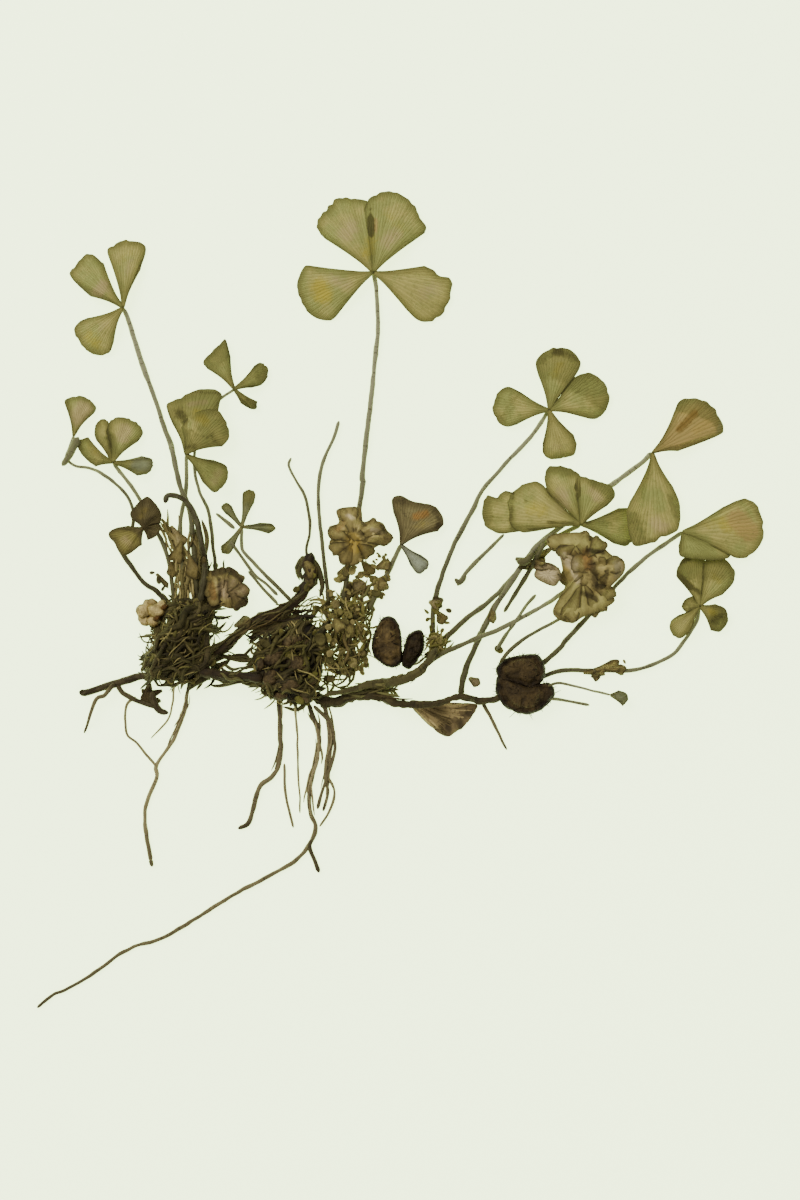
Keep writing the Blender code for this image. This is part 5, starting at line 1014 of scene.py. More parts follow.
def strands(paths, radii, tones, olives, seed, sides, flatness, ribs=0.0, wear=0.0, rough=0.0, ridges=5):
    """Closed tubes along paths, all of one number of points. Round a path's point stands a ring: the side
    vector times the cosine, plus the lifted vector times the sine and the flatness, times the radius there.
    Ribs add a cosine of the number of ridges times the angle, wear is noise of the length in the radius, and
    a rough skin adds noise of the angle and the length. The rings at both ends are narrower."""
    number = np.arange(len(paths))[:, None]
    tangent = unit(np.gradient(paths, axis=1))
    side = unit(np.cross(tangent, (0.0, 0.0, 1.0)))
    lifted = np.cross(side, tangent)
    along = running_length(paths)
    radii = radii * (1 + wear * line_noise(along + 7.3 * number, 0.8, seed + 11))
    angle = -math.pi / 2 + 2 * math.pi * np.arange(sides) / sides
    length = along[..., None]
    bent = 0.9 * np.cos(angle) + 2.2 * length + 5.1 * number[..., None]
    skin = np.stack((bent, 0.9 * np.sin(angle) + 0.7 * length), axis=-1)
    dents = noise(skin, 0.9, seed + 17) + 0.5 * noise(skin, 0.4, seed + 18)
    ends = np.ones(paths.shape[1])
    ends[[0, -1]] = 0.6
    ridge = np.cos(ridges * angle + 0.35 * length)
    reach = (radii * ends)[..., None] * (1 + ribs * ridge + rough * dents)
    ring = np.cos(angle)[:, None] * side[:, :, None] + flatness * np.sin(angle)[:, None] * lifted[:, :, None]
    first = paths[:, 0] - 0.5 * radii[:, :1] * tangent[:, 0]
    last = paths[:, -1] + 0.5 * radii[:, -1:] * tangent[:, -1]
    values = {"tone": np.asarray(tones)[..., None], "olive": np.asarray(olives)[..., None]}
    # Painted shade in the dents of a rough skin
    values["hollow"] = np.clip(-3 * rough * dents, 0, 1)
    rings = paths[:, :, None] + reach[..., None] * ring
    return tubes(rings, np.stack((first, last)), np.arange(sides + 1) / sides, along, values)


def strand(path, widths, tones, olive, waver, seed, node=None, **shape):
    """One strand along a path in plan, its widths and tones spread along it. It lies at the height of its
    node, or on whatever the plant has under it."""
    count = max(6, round(length_of(path) / STRAND_SPACING))
    xy, along = wavering(smooth_curve(path, count), waver, seed)
    radii = 0.5 * np.interp(along / along[-1], np.linspace(0, 1, len(widths)), widths)
    tone = np.interp(along / along[-1], np.linspace(0, 1, len(tones)), tones)
    if node:
        heights = np.maximum(strand_height(node, xy), resting(radii))
    else:
        heights = resting(radii) + evened(bed.height(xy), (1,) * 7)
    return strands(raised(xy, heights)[None], radii[None], tone[None], olive, seed, **shape)


def loose_strand(first, last, tone, path, seed, olive, waver):
    """A strand with no node of its own, by its width at each end and its paleness."""
    return strand(path, (first, last), (tone, tone), olive, waver, seed, **LOOSE_SHAPE)


def drawn_wave(share, slowest, fastest, rng, count):
    """For each of many strands, a sine along it, with its rate and start drawn."""
    return np.sin(share * rng.uniform(slowest, fastest, (count, 1)) + rng.uniform(0, 6, (count, 1)))


def tangle(centres, headings, lengths, bends, widths, levels, tones, olives, seed):
    """Many short strands at once. The heading of each turns at a steady rate and wavers as a sine along its
    length, its path is the running sum of that heading, and its height is a share of the plant's top under
    it."""
    rng = np.random.default_rng(seed)
    count, steps = len(centres), TANGLE_STEPS
    share = np.linspace(0, 1, steps)
    waver = rng.uniform(0.1, 0.7, (count, 1)) * drawn_wave(share, 3, 11, rng, count)
    way = headings[:, None] + bends[:, None] * (share - 0.5) + waver
    step = (lengths / (steps - 1))[:, None, None] * heading(way)
    xy = centres[:, None] + np.cumsum(step, axis=1) - 0.5 * step.sum(axis=1, keepdims=True)
    radii = 0.5 * widths[:, None] * tapered(share, 0.55, 3)
    hump = 1 + 0.10 * drawn_wave(share, 2, 6, rng, count)
    line = raised(xy, np.maximum(levels[:, None] * bed.height(xy) * hump, resting(radii)))
    return strands(line, radii, tones[:, None], olives[:, None], seed, **FINE_SHAPE)


def bundle(count, spread, lengths, widths, levels, tones, olives, path, seed):
    """Strands side by side along one path. Each runs between two places on it, at a distance beside it that
    drifts from one value to another, and wavers as a sine of its length."""
    rng, samples = np.random.default_rng(seed), 300
    line = smooth_curve(path, samples)
    normal = turned(unit(np.gradient(line, axis=0)))
    total = length_of(line)
    length = np.minimum(rng.uniform(*lengths, count), total)
    first = rng.uniform(0, 1, count) * (total - length)
    share = np.linspace(0, 1, BUNDLE_STEPS)
    place = (first[:, None] + length[:, None] * share) / total * (samples - 1)
    beside = rng.normal(0, spread, (count, 2))
    offset = beside[:, :1] * (1 - share) + beside[:, 1:] * share
    offset += 0.3 * spread * drawn_wave(share, 4, 12, rng, count)
    at_places = partial(np.interp, place, np.arange(samples))
    moved = [at_places(line[:, axis]) + offset * at_places(normal[:, axis]) for axis in (0, 1)]
    xy = np.stack(moved, axis=-1)
    radii = 0.5 * rng.uniform(*widths, (count, 1)) * tapered(share, 0.5, 4)
    heights = np.maximum(rng.uniform(*levels, (count, 1)) * bed.height(xy), resting(radii))
    tone, olive = rng.uniform(*tones, (count, 1)), rng.uniform(*olives, (count, 1))
    return strands(raised(xy, evened(heights, (1, 2, 3, 2, 1))), radii, tone, olive, seed, **FINE_SHAPE)


def oval(middle, long, short, degrees, seed, points=14):
    """An oval outline whose radius is drawn a little longer or shorter at each of its points."""
    angle = np.linspace(0, 2 * math.pi, points, endpoint=False)
    uneven = 1 + np.random.default_rng(seed).uniform(-0.09, 0.09, points)
    flat = uneven[:, None] * heading(angle) * (long, short)
    way = heading(math.radians(degrees))
    return middle + flat[:, :1] * way + flat[:, 1:] * turned(way)


def body(skin, first_seed, middle, long, short, degrees, height, seed):
    """A lump with an uneven oval outline."""
    outline = oval(middle, long, short, degrees, seed - first_seed)
    return lump(np.array(middle), outline, height, seed, **skin)


def within(hub, outline, count, rng, reach=1.0, samples=240):
    """Places spread evenly over an outline about its hub: a share of the way to its rim, by the square
    root."""
    rim = smooth_curve(outline, samples, closed=True) - hub
    area = (rim**2).sum(axis=1)
    picks = rng.choice(samples, count, p=area / area.sum())
    return hub + rim[picks] * (reach * np.sqrt(rng.uniform(0, 1, count)))[:, None]


def scraps(centres, sizes, levels, tones, olives, seed):
    """Small curled scraps of leaf. Each is a square grid eased into a disc, where x is u times the root of
    1 - v²/2, with an uneven rim, bent round a random axis and tilted."""
    rng = np.random.default_rng(seed)
    across, along = (np.linspace(-1, 1, count) for count in SCRAP_GRID)
    u, v = np.meshgrid(across, along, indexing="ij")
    disc = np.stack((u * np.sqrt(1 - v**2 / 2), v * np.sqrt(1 - u**2 / 2)), axis=-1)
    angle = np.arctan2(disc[..., 1], disc[..., 0])
    half = 0.045 * (np.maximum(np.abs(u), np.abs(v)) < 1)
    pieces = []
    for centre, size, level, tone, olive in zip(centres, sizes, levels, tones, olives):
        uneven = np.ones_like(angle)
        for waves in (2, 3, 5, 8):
            uneven += rng.uniform(0.04, 0.22) / waves * np.sin(waves * angle + rng.uniform(0, 6))
        flat = disc * uneven[..., None] * (1, rng.uniform(0.45, 0.95)) * size
        turn, curl, tilt = rng.uniform(0, 6.28), rng.uniform(0.15, 0.7), rng.uniform(-0.35, 0.35)
        dents = 0.08 * noise(flat + 9 * turn, 0.3, seed)
        bent = curl * flat[..., 0] ** 2 / size + tilt * flat[..., 1] + dents
        xy = centre + flat[..., :1] * heading(turn) + flat[..., 1:] * turned(heading(turn))
        middle = np.maximum(bed.height(centre) * level + bent, LOWEST)
        # Painted shade on the parts of a scrap that bend down below its middle
        hollow = np.clip(-4 * (bent - bent.mean()), 0, 0.6)
        values = {"tone": tone + 0 * u, "olive": olive + 0 * u, "hollow": hollow}
        sides = (middle + half, middle - half)
        pieces.append(thin_shell(xy, *sides, 0.5 + 0.5 * across, 2 + 2 * along, values))
    return joined(pieces)


def strewn(hub, outline, reach, rng, seed, count, *ranges):
    """Scraps spread over an outline, their sizes, heights, paleness and olive drawn from ranges."""
    places = within(hub, outline, count, rng, reach)
    return scraps(places, *(rng.uniform(*values, count) for values in ranges), seed)


def bristles(surface, count, length, seed):
    """Short stiff hairs on a body. Each starts at one of its points, a little inside the skin, and leans
    away from its middle."""
    rng = np.random.default_rng(seed)
    root = surface.points[rng.choice(len(surface.points), count)]
    lean = root - surface.points.mean(axis=0)
    lean[:, 2] = 0.3 * np.abs(lean[:, 2])
    lean = unit(lean) + rng.normal(0, 0.45, lean.shape)
    reach = rng.uniform(0.4, 1.0, (count, 1, 1)) * length
    paths = root[:, None] + np.linspace(-0.2, 1, HAIR_STEPS)[:, None] * reach * lean[:, None]
    paths[..., 2] = np.maximum(paths[..., 2], LOWEST)
    radii = np.linspace(0.045, 0.02, HAIR_STEPS) * np.ones((count, 1))
    return strands(paths, radii, 0.0, 0.0, seed, **HAIR_SHAPE)


def scale_ribs():
    """The ribs of the bud scale: strands from near its apex to near the points of its edge, bowed sideways
    and arched as the sine of their length, and pale where they cross a pale stripe."""
    apex = np.array(SCALE_APEX)
    share = np.linspace(0, 1, RIB_STEPS)
    arch = np.sin(math.pi * share)
    rng = np.random.default_rng(SEEDS["scale"])
    paths, radii, tones = [], [], []
    for number, end in enumerate(smooth_curve(SCALE_EDGE, SCALE_RIBS)):
        away = end - apex
        bow = 0.09 * arch * (number - SCALE_RIBS / 2) / SCALE_RIBS
        start = rng.uniform(0.02, 0.25)
        reach = start + (rng.uniform(0.86, 1.02) - start) * share
        xy = apex + reach[:, None] * away - bow[:, None] * turned(away)
        paths.append(raised(xy, 0.16 + rng.uniform(0.25, 0.55) * arch**0.6))
        radii.append(0.5 * rng.uniform(0.16, 0.36) * (0.45 + 0.55 * arch))
        lit = sum(near_line(xy, *stripe) for stripe in SCALE_LIGHT)
        tones.append(rng.uniform(0.0, 0.25) + rng.uniform(0.4, 0.85) * lit)
    paths, radii, tones = (np.array(values) for values in (paths, radii, tones))
    return strands(paths, radii, tones, 0.1, SEEDS["scale"], **RIB_SHAPE)


# Materials


class Wire:
    """A socket of a material. Arithmetic on wires and numbers adds Math nodes."""

    def __init__(self, paint, socket):
        self.paint = paint
        self.socket = socket

    def with_node(self, operation, *others):
        """A Math node on this wire and then the others."""
        inputs = dict(zip(("Value", "Value_001"), (self, *others)))
        return self.paint.node("ShaderNodeMath", {"operation": operation}, inputs)

    def reflected(self, operation, other):
        """A Math node on a number and then this wire."""
        inputs = {"Value": other, "Value_001": self}
        return self.paint.node("ShaderNodeMath", {"operation": operation}, inputs)

    __add__ = partialmethod(with_node, "ADD")
    __radd__ = partialmethod(reflected, "ADD")
    __sub__ = partialmethod(with_node, "SUBTRACT")
    __rsub__ = partialmethod(reflected, "SUBTRACT")
    __mul__ = partialmethod(with_node, "MULTIPLY")
    __rmul__ = partialmethod(reflected, "MULTIPLY")
    __truediv__ = partialmethod(with_node, "DIVIDE")
    __rtruediv__ = partialmethod(reflected, "DIVIDE")
    __rpow__ = partialmethod(reflected, "POWER")
    __abs__ = partialmethod(with_node, "ABSOLUTE")
    floor = partialmethod(with_node, "FLOOR")
    fraction = partialmethod(with_node, "FRACT")
    least = partialmethod(with_node, "MINIMUM")


class Paint:
    """A material in the making, with a Principled shader on its output."""

    def __init__(self, name):
        self.material = bpy.data.materials.new(name)
        self.material.use_nodes = True
        self.tree = self.material.node_tree

    def node(self, kind, settings=None, inputs=None, output=0):
        """Adds a node of a kind, sets its settings, then its inputs by identifier, and gives one output."""
        made = self.tree.nodes.new(kind)
        for name, value in (settings or {}).items():
            setattr(made, name, value)
        for name, value in (inputs or {}).items():
            self.connect(next(socket for socket in made.inputs if socket.identifier == name), value)
        if isinstance(output, str):
            return Wire(self, next(socket for socket in made.outputs if socket.identifier == output))
        return Wire(self, made.outputs[output])

    def connect(self, socket, value):
        """Links a wire to a socket, or sets the socket's own value."""
        if isinstance(value, Wire):
            self.tree.links.new(value.socket, socket)
        else:
            socket.default_value = (*value, 1.0) if socket.type == "RGBA" else value

    def finished(self, **inputs):
        """The material, with inputs of its shader by name, underscores for spaces."""
        for name, value in inputs.items():
            self.connect(self.tree.nodes["Principled BSDF"].inputs[name.replace("_", " ")], value)
        return self.material

    def place(self):
        """Object coordinates in millimetres."""
        inputs = {"Vector": self.node("ShaderNodeTexCoord", output="Object"), "Scale": 1 / MM}
        return self.node("ShaderNodeVectorMath", {"operation": "SCALE"}, inputs)

    def map_place(self):
        """The two coordinates of the piece's own map."""
        inputs = {"Vector": self.node("ShaderNodeUVMap", {"uv_map": "map"})}
        across = self.node("ShaderNodeSeparateXYZ", {}, inputs)
        return across, Wire(self, across.socket.node.outputs["Y"])

    def value(self, name):
        """A value that the piece carries at its points."""
        return self.node("ShaderNodeAttribute", {"attribute_name": name}, output="Fac")

    def noise(self, place, scale, detail=3.0, roughness=0.6, warp=0.0):
        """Noise at a place, given as a wire or as the two wires of a flat one."""
        if isinstance(place, tuple):
            place = self.node("ShaderNodeCombineXYZ", {}, dict(zip("XY", place)))
        inputs = {"Vector": place, "Scale": scale, "Detail": detail, "Roughness": roughness}
        return self.node("ShaderNodeTexNoise", {}, inputs | {"Distortion": warp})

    def mix(self, share, first, second):
        """The first colour passing to the second as the share goes from 0 to 1, and held beyond them."""
        inputs = {"Factor_Float": share, "A_Color": first, "B_Color": second}
        return self.node("ShaderNodeMix", {"data_type": "RGBA"}, inputs, output="Result_Color")

    def step(self, value, low, high):
        """0 below low, 1 above high and smooth between them."""
        inputs = {"Value": value, "From Min": low, "From Max": high}
        return self.node("ShaderNodeMapRange", {"interpolation_type": "SMOOTHSTEP"}, inputs)

    def relief(self, height, depth):
        """Bumps from a height of 0 to 1 that stands for a depth in millimetres."""
        return self.node("ShaderNodeBump", {}, {"Height": height, "Distance": depth * MM, "Strength": 1.0})


def leaf_paint(name, colours):
    """A dry leaf: its green with patches of gold, tan and rust, a darker margin, veins that fork twice as
    they fan out, and a fine grain. Shade marks and the troughs of its folds get painted shade in the margin's
    colour, and dark marks are partly painted shadow along folds."""
    paint = Paint(name)
    place = paint.place()
    across, along = paint.map_place()
    patches = paint.noise(place, scale=0.45, roughness=0.55)
    speckle = paint.noise(place, scale=2.6, detail=4.0, roughness=0.65)
    grain = paint.noise(place, scale=11.0)

    wander = (paint.noise(place, scale=1.3, detail=1.0, roughness=0.55) - 0.5) * 0.03
    veins, bands = 6.0, 3.0
    scaled = along.least(0.999) * bands
    band = scaled.floor()
    count = veins * 2.0**band
    offset = abs(((across + wander) * count).fraction() - 0.5)
    from_vein = abs(offset - (scaled - band) * 0.25) / count * along * veins
    vein = 1 - paint.step(from_vein, 0.012, 0.055)

    edge = paint.value("edge")
    rim = 1 - paint.step(edge + (speckle - 0.5) * 0.45, 0.0, 0.80)
    outline = 1 - paint.step(edge + (speckle - 0.5) * 0.12, 0.03, 0.20)
    specks = paint.step(paint.noise(place, scale=5.0, detail=2.0, roughness=0.5), 0.62, 0.74)
    ragged = (speckle - 0.5) * 0.8

    def covered(kind):
        return paint.step(paint.value(kind) + ragged, 0.24, 0.88)

    warmth = paint.step(patches + paint.value("tone") * 0.12, 0.38, 0.62)
    base = paint.mix(warmth, colours["blade"], colours["warm"])
    layers = [
        ("cool", paint.step(speckle, 0.46, 0.68) * 0.45),
        *((kind, covered(kind) * 0.85) for kind in ("pink", "olive", "gold", "rust", "grey", "pale")),
        # Painted shade: the shade marks, in the margin's colour
        ("margin", covered("shade") * 0.60),
        ("margin", rim * 0.72),
        ("dark", outline * 0.5),
        ("vein", vein * 0.22),
        ("dark", specks * 0.30),
        # Painted shade in the troughs of the folds
        ("margin", paint.value("hollow") * 0.28),
        # Dark marks: the leaf's own dark spots, and painted shadow along folds
        ("dark", covered("dark") * 0.85),
        ("rustdark", covered("rustdark") * 0.85),
        ("grain", paint.step(grain, 0.25, 0.8) * 0.20),
    ]
    for kind, share in layers:
        base = paint.mix(share, base, colours[kind])
    relief = paint.relief(vein * 0.6 + speckle * 0.8 + grain * 0.4, depth=0.06)
    roughness = 0.66 + grain * 0.25
    return paint.finished(Base_Color=base, Roughness=roughness, Specular_IOR_Level=0.22, Normal=relief)


def strand_paint(name, dark, pale, olive, shine=0.18):
    """A dry stem or root: dark where it is old, paler with its tone, streaked along its length, with small
    scars across it and painted shade in the dents of its skin."""
    paint = Paint(name)
    place = paint.place()
    around, along = paint.map_place()
    streaks = paint.noise((around * 7.0, along * 0.55), scale=1.0)
    scars = paint.noise((around * 1.2, along * 4.5), scale=1.0, detail=2.0, roughness=0.5)
    blotches = paint.noise(place, scale=0.9)
    grain = paint.noise(place, scale=9.0)
    tone = paint.value("tone") + (blotches - 0.5) * 0.35 + (streaks - 0.5) * 0.5
    base = paint.mix(tone, dark, pale)
    base = paint.mix(paint.value("olive") * (0.5 + blotches), base, olive)
    base = paint.mix(paint.step(scars, 0.58, 0.70) * 0.55, base, dark)
    # Painted shade in the dents of the skin
    base = paint.mix(paint.value("hollow") * 0.6, base, DEEP_SHADE)
    relief = paint.relief(streaks * 0.8 + scars * 0.5 + grain * 0.4, depth=0.07)
    roughness = 0.58 + grain * 0.3
    return paint.finished(Base_Color=base, Roughness=roughness, Specular_IOR_Level=shine, Normal=relief)


def case_paint(name, dark, face):
    """The leathery skin of a spore case: dark, lighter in patches on its upper face, partly its own colour
    and partly painted light from above, wrinkled and pitted, with painted shade in its dents and creases.
    """
    paint = Paint(name)
    place = paint.place()
    broad = paint.noise(place, scale=0.8, warp=0.4)
    wrinkles = paint.noise(place, scale=3.2, detail=4.0, roughness=0.65, warp=0.8)
    pits = paint.node("ShaderNodeTexVoronoi", {}, {"Vector": place, "Scale": 5.0}, output="Distance")
    _, level = paint.map_place()
    # The upper face is lighter than the sides: partly the face's own colour, partly painted light from above
    lit = paint.step(level + (broad - 0.5) * 0.5, 0.76, 1.02)
    base = paint.mix(lit * (0.45 + paint.step(wrinkles, 0.30, 0.62) * 0.55), dark, face)
    # Painted shade in the dents and creases
    base = paint.mix(paint.value("hollow") * 0.45, base, DEEP_SHADE)
    relief = paint.relief(wrinkles + pits * 0.4, depth=0.14)
    roughness = 0.40 + wrinkles * 0.35
    return paint.finished(Base_Color=base, Roughness=roughness, Specular_IOR_Level=0.12, Normal=relief)


# Pieces


def linked(name, data):
    """A new object in the scene."""
    made = bpy.data.objects.new(name, data)
    bpy.context.collection.objects.link(made)
    return made


def piece(name, surface, material):
    """A piece at the origin, with its map and values, that rides with the plant and takes the given finish."""
    mesh = bpy.data.meshes.new(name)
    faces = [corners for group in surface.faces for corners in group.tolist()]
    mesh.from_pydata(surface.points * MM, [], faces, shade_flat=False)
    places = np.concatenate([place.reshape(-1, 2) for place in surface.places])
    mesh.uv_layers.new(name="map").data.foreach_set("uv", places.ravel())
    for kind, value in surface.values.items():
        mesh.attributes.new(kind, "FLOAT", "POINT").data.foreach_set("value", value.astype(np.float32))
    if mesh.validate():
        raise RuntimeError(f"{name} has faces that Blender can't use")
    mesh.materials.append(material)
    made = linked(name, mesh)
    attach(made, "root")
    return made


def seeded(table, group, step):
    """Each node of a table with its values and a seed of its own."""
    for number, (node, values) in enumerate(table.items()):
        yield node, values, SEEDS[group] + step * number


def stand_in(node, suffix, surface, material):
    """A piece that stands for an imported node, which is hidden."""
    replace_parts(piece(f"{node}_{suffix}", surface, material), node)


def each(make, groups, seed, step=9):
    """A surface for each group of values, joined, each with a seed of its own."""
    return joined([make(*group, seed + step * number) for number, group in enumerate(groups)])


def linear(colour):
    """A colour as it shows on a screen, from 0 to 255, as linear light."""
    share = np.array(colour) / 255
    return tuple(np.where(share <= 0.04045, share / 12.92, ((share + 0.055) / 1.055) ** 2.4))


# Settings


def tint(name, description, colour):
    """A colour of the settings, kept as linear light."""
    limits = {"subtype": "COLOR", "min": 0.0, "max": 1.0, "size": 3}
    return FloatVectorProperty(name=name, description=description, default=linear(colour), **limits)


def extent(name, description, millimetres):
    """A length of the settings, kept in metres."""
    limits = {"unit": "LENGTH", "precision": 5}
    return FloatProperty(name=name, description=description, default=millimetres * MM, **limits)


def share_of(name, description, default):
    """A share of the settings."""
    limits = {"subtype": "FACTOR", "min": 0.0, "max": 2.0}
    return FloatProperty(name=name, description=description, default=default, **limits)


class CloverLeafSettings(bpy.types.PropertyGroup):
    thickness: extent("Thickness", "Thickness of a leaf blade", 0.09)
    fold: extent("Folds", "Height of the folds that fan out from the hub", 0.045)
    crumple: extent("Crumple", "Height of the crumples of a lobe or a bit", 0.17)
    curl: extent("Curl", "How far the margin of a leaf stands up or down", 0.06)
    fold_count: IntProperty(name="Fold Count", description="Folds across a leaflet", default=3, min=1, max=12)
    margin_wave: share_of("Margin Wave", "Unevenness of the margin, as a share", 0.018)
    blade: tint("Blade", "Olive of a leaf", (145, 148, 80))
    warm: tint("Warm", "Warmer patches of a leaf", (172, 162, 90))
    cool: tint("Cool", "Greyer specks of a leaf", (120, 122, 66))
    gold: tint("Gold", "Golden patches", (172, 154, 44))
    pink: tint("Tan", "Pinkish tan patches", (176, 156, 104))
    rust: tint("Rust", "Orange-brown patches", (164, 136, 78))
    rustdark: tint("Dark Rust", "Darkest strokes on an orange leaflet", (108, 82, 30))
    grey: tint("Grey", "Greyish patches", (142, 148, 118))
    pale: tint("Pale", "Palest patches", (178, 156, 106))
    olive: tint("Olive", "Patches that are still green", (142, 134, 66))
    # Margin: the leaf's own darker margin, and the colour of the painted shade on shade marks and in fold
    # troughs
    margin: tint("Margin", "The darker margin", (84, 84, 40))
    vein: tint("Vein", "The veins", (110, 108, 52))
    # Dark: the leaves' own spots, and the painted shadow along folds
    dark: tint("Dark", "Dark folds and spots", (54, 50, 16))
    grain: tint("Grain", "The fine grain", (118, 112, 54))


class CloverStemSettings(bpy.types.PropertyGroup):
    slimness: share_of("Slimness", "Width of a stem as a share of its listed width", 0.88)
    waver: extent("Waver", "How far a stem strays sideways", 0.05)
    ribs: share_of("Ribs", "Height of the ribs along a stem, as a share", 0.07)
    palest: share_of("Palest", "How pale a stem is near its leaf, as a share", 0.9)
    pale: tint("Pale", "The upper part of a stem", (144, 144, 114))
    dark: tint("Dark", "The lower part of a stem", (42, 35, 15))
    olive: tint("Olive", "Greener stretches", (108, 106, 60))


class CloverRootSettings(bpy.types.PropertyGroup):
    waver: extent("Waver", "How far a root strays sideways", 0.09)
    pale: tint("Pale", "The palest roots", (158, 146, 104))
    dark: tint("Dark", "The darkest roots", (44, 36, 18))
    rhizome: tint("Rhizome", "The rhizome", (28, 20, 9))
    rhizome_pale: tint("Rhizome Ridges", "Ridges of the rhizome", (104, 86, 50))


class CloverTuftSettings(bpy.types.PropertyGroup):
    fullness: share_of("Fullness", "How many strands, as a share", 1.0)
    hairs: IntProperty(name="Hairs", description="How many hairs a spore case has", default=60, min=1)
    core: share_of("Core", "Height of a tuft's dark core, as a share", 0.62)
    dark: tint("Dark", "The darkest strands", (20, 14, 6))
    pale: tint("Pale", "The palest strands", (160, 145, 92))
    olive: tint("Olive", "Olive scraps", (98, 94, 40))
    # Each skin is a lump's colour low on its sides and each face its colour on top; a face is lighter partly in
    # its own colour and partly as painted light from above
    case: tint("Spore Case", "The skin of a spore case", (28, 20, 9))
    case_face: tint("Spore Case Face", "The lighter face of a spore case", (106, 88, 52))
    body: tint("Body", "The skin of the dark bodies in the middle tuft", (30, 21, 10))
    body_face: tint("Body Face", "The lighter face of those bodies", (86, 72, 46))
    # The bud's tan top is partly painted highlight, and its darker sides partly painted shade
    bud: tint("Bud", "The tan bud", (188, 168, 110))
    bud_dark: tint("Bud Hollows", "The darker sides of the tan bud", (108, 86, 42))
    eye: tint("Eye", "The skin of the bud's dark eyes", (46, 32, 14))
    eye_face: tint("Eye Face", "The lighter face of the bud's eyes", (92, 64, 28))
    rib: tint("Rib", "The palest ribs of the bud scale", (178, 156, 106))
    rib_dark: tint("Dark Rib", "The darkest ribs of the bud scale", (48, 36, 17))


class CloverStageSettings(bpy.types.PropertyGroup):
    floor: tint("Floor", "The pale floor", (240, 243, 228))
    glow: FloatProperty(name="Glow", description="Light that the floor gives off", default=3.9)
    glow_colour: tint("Glow Colour", "Tint of that light", (228, 255, 180))
    field: extent("Field", "Height of the picture on the floor", 108.0)
    lens: FloatProperty(name="Lens", description="Focal length of the camera", default=110.0, unit="CAMERA")


class CloverSettings(bpy.types.PropertyGroup):
    leaf: PointerProperty(type=CloverLeafSettings)
    stem: PointerProperty(type=CloverStemSettings)
    root: PointerProperty(type=CloverRootSettings)
    tuft: PointerProperty(type=CloverTuftSettings)
    stage: PointerProperty(type=CloverStageSettings)


def dressed_leaf(name, leaf, **changed):
    """The leaf material in the colours of the settings, some of them changed."""
    colours = {kind: getattr(leaf, kind) for kind in LEAF_TINTS}
    return leaf_paint(name, colours | {kind: linear(colour) for kind, colour in changed.items()})


# Operators


class CLOVER_OT_leaves(bpy.types.Operator):
    """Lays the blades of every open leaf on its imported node"""

    bl_idname = "clover.leaves"
    bl_label = "Leaves"

    def execute(self, context):
        leaf = context.scene.clover.leaf
        materials = {
            "leaf": dressed_leaf("leaf", leaf),
            "leaf_rust": dressed_leaf("leaf_rust", leaf),
            "dry_leaf": dressed_leaf("brown_leaf", leaf, **BROWN_TINTS),
        }
        for node, (hub, waist, rims), seed in seeded(LEAVES, "leaves", 100):
            fold = (BROWN_FOLD if SLOTS[node] == "dry_leaf" else 1.0) * leaf.fold / MM
            ground = partial(sheet_height, node, SOLID_LEAF)
            look = (MARKS[node], leaf, fold, CRINKLE * fold, waist)
            blades = [
                leaflet(ground, np.array(hub), rim, order % 2, *look, seed + 7 * order)
                for order, rim in enumerate(rims)
            ]
            stand_in(node, "blades", joined(blades), materials[SLOTS[node]])
        return {"FINISHED"}


class CLOVER_OT_crumpled_leaves(bpy.types.Operator):
    """Lays the crumpled brown leaves, each a pleated middle with lobes folded over it"""

    bl_idname = "clover.crumpled_leaves"
    bl_label = "Crumpled Leaves"

    def execute(self, context):
        leaf = context.scene.clover.leaf
        material = dressed_leaf("dry_leaf", leaf, **CRUMPLED_TINTS)
        look = (leaf, CRINKLE * leaf.fold / MM, leaf.crumple / MM, LOBE_WAIST)
        for node, (hub, height, outline, lobes), seed in seeded(CRUMPLED, "crumpled", 50):
            parts = [crumpled_sheet(node, np.array(hub), outline, height, MARKS[node], leaf, seed)]
            ground = partial(sheet_height, node, SOLID_CRUMPLED, lift=LOBE_LIFT * height)
            for order, lobe in enumerate(lobes, 1):
                rank = (order - 1) % LOBE_STEPS
                parts.append(leaflet(ground, *wedge(*lobe), rank, MARKS[node], *look, seed + 5 * order))
            stand_in(node, "crumple", joined(parts), material)
        bits = []
        for number, (*bit, tone) in enumerate(BITS):
            marks = {"pale" if tone > 0.5 else "dark": [(*bit[:2], *bit[:2], BIT_MARK, abs(2 * tone - 1))]}
            place = (*wedge(*bit), number % LOBE_STEPS)
            bits.append(leaflet(over_plant, *place, marks, *look, SEEDS["bits"] + 7 * number))
        piece("leaf_bits", joined(bits), material)
        return {"FINISHED"}


class CLOVER_OT_stems(bpy.types.Operator):
    """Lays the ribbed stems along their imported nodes, and the finest ones that have no node"""

    bl_idname = "clover.stems"
    bl_label = "Stems"

    def execute(self, context):
        stem = context.scene.clover.stem
        material = strand_paint("stem", stem.dark, stem.pale, stem.olive)
        for node, (width, dark_length, path), seed in seeded(STEMS, "stems", 9):
            widths = np.array(STEM_TAPER) * width * stem.slimness
            lit = np.clip(BASE_LIGHT + np.linspace(0, length_of(path), STEM_TONES) / dark_length, 0, 1)
            olive = min(MOST_OLIVE, OLIVE_LENGTH / dark_length)
            look = (widths, stem.palest * lit**PALENESS_POWER, olive, stem.waver / MM)
            stalk = strand(pairs(path)[::-1], *look, seed, node, ribs=stem.ribs, **STEM_SHAPE)
            stand_in(node, "stalk", stalk, material)
        fine = each(partial(loose_strand, olive=0.3, waver=0.03), FINE_STEMS, SEEDS["fine_stems"])
        piece("fine_stems", fine, material)
        return {"FINISHED"}


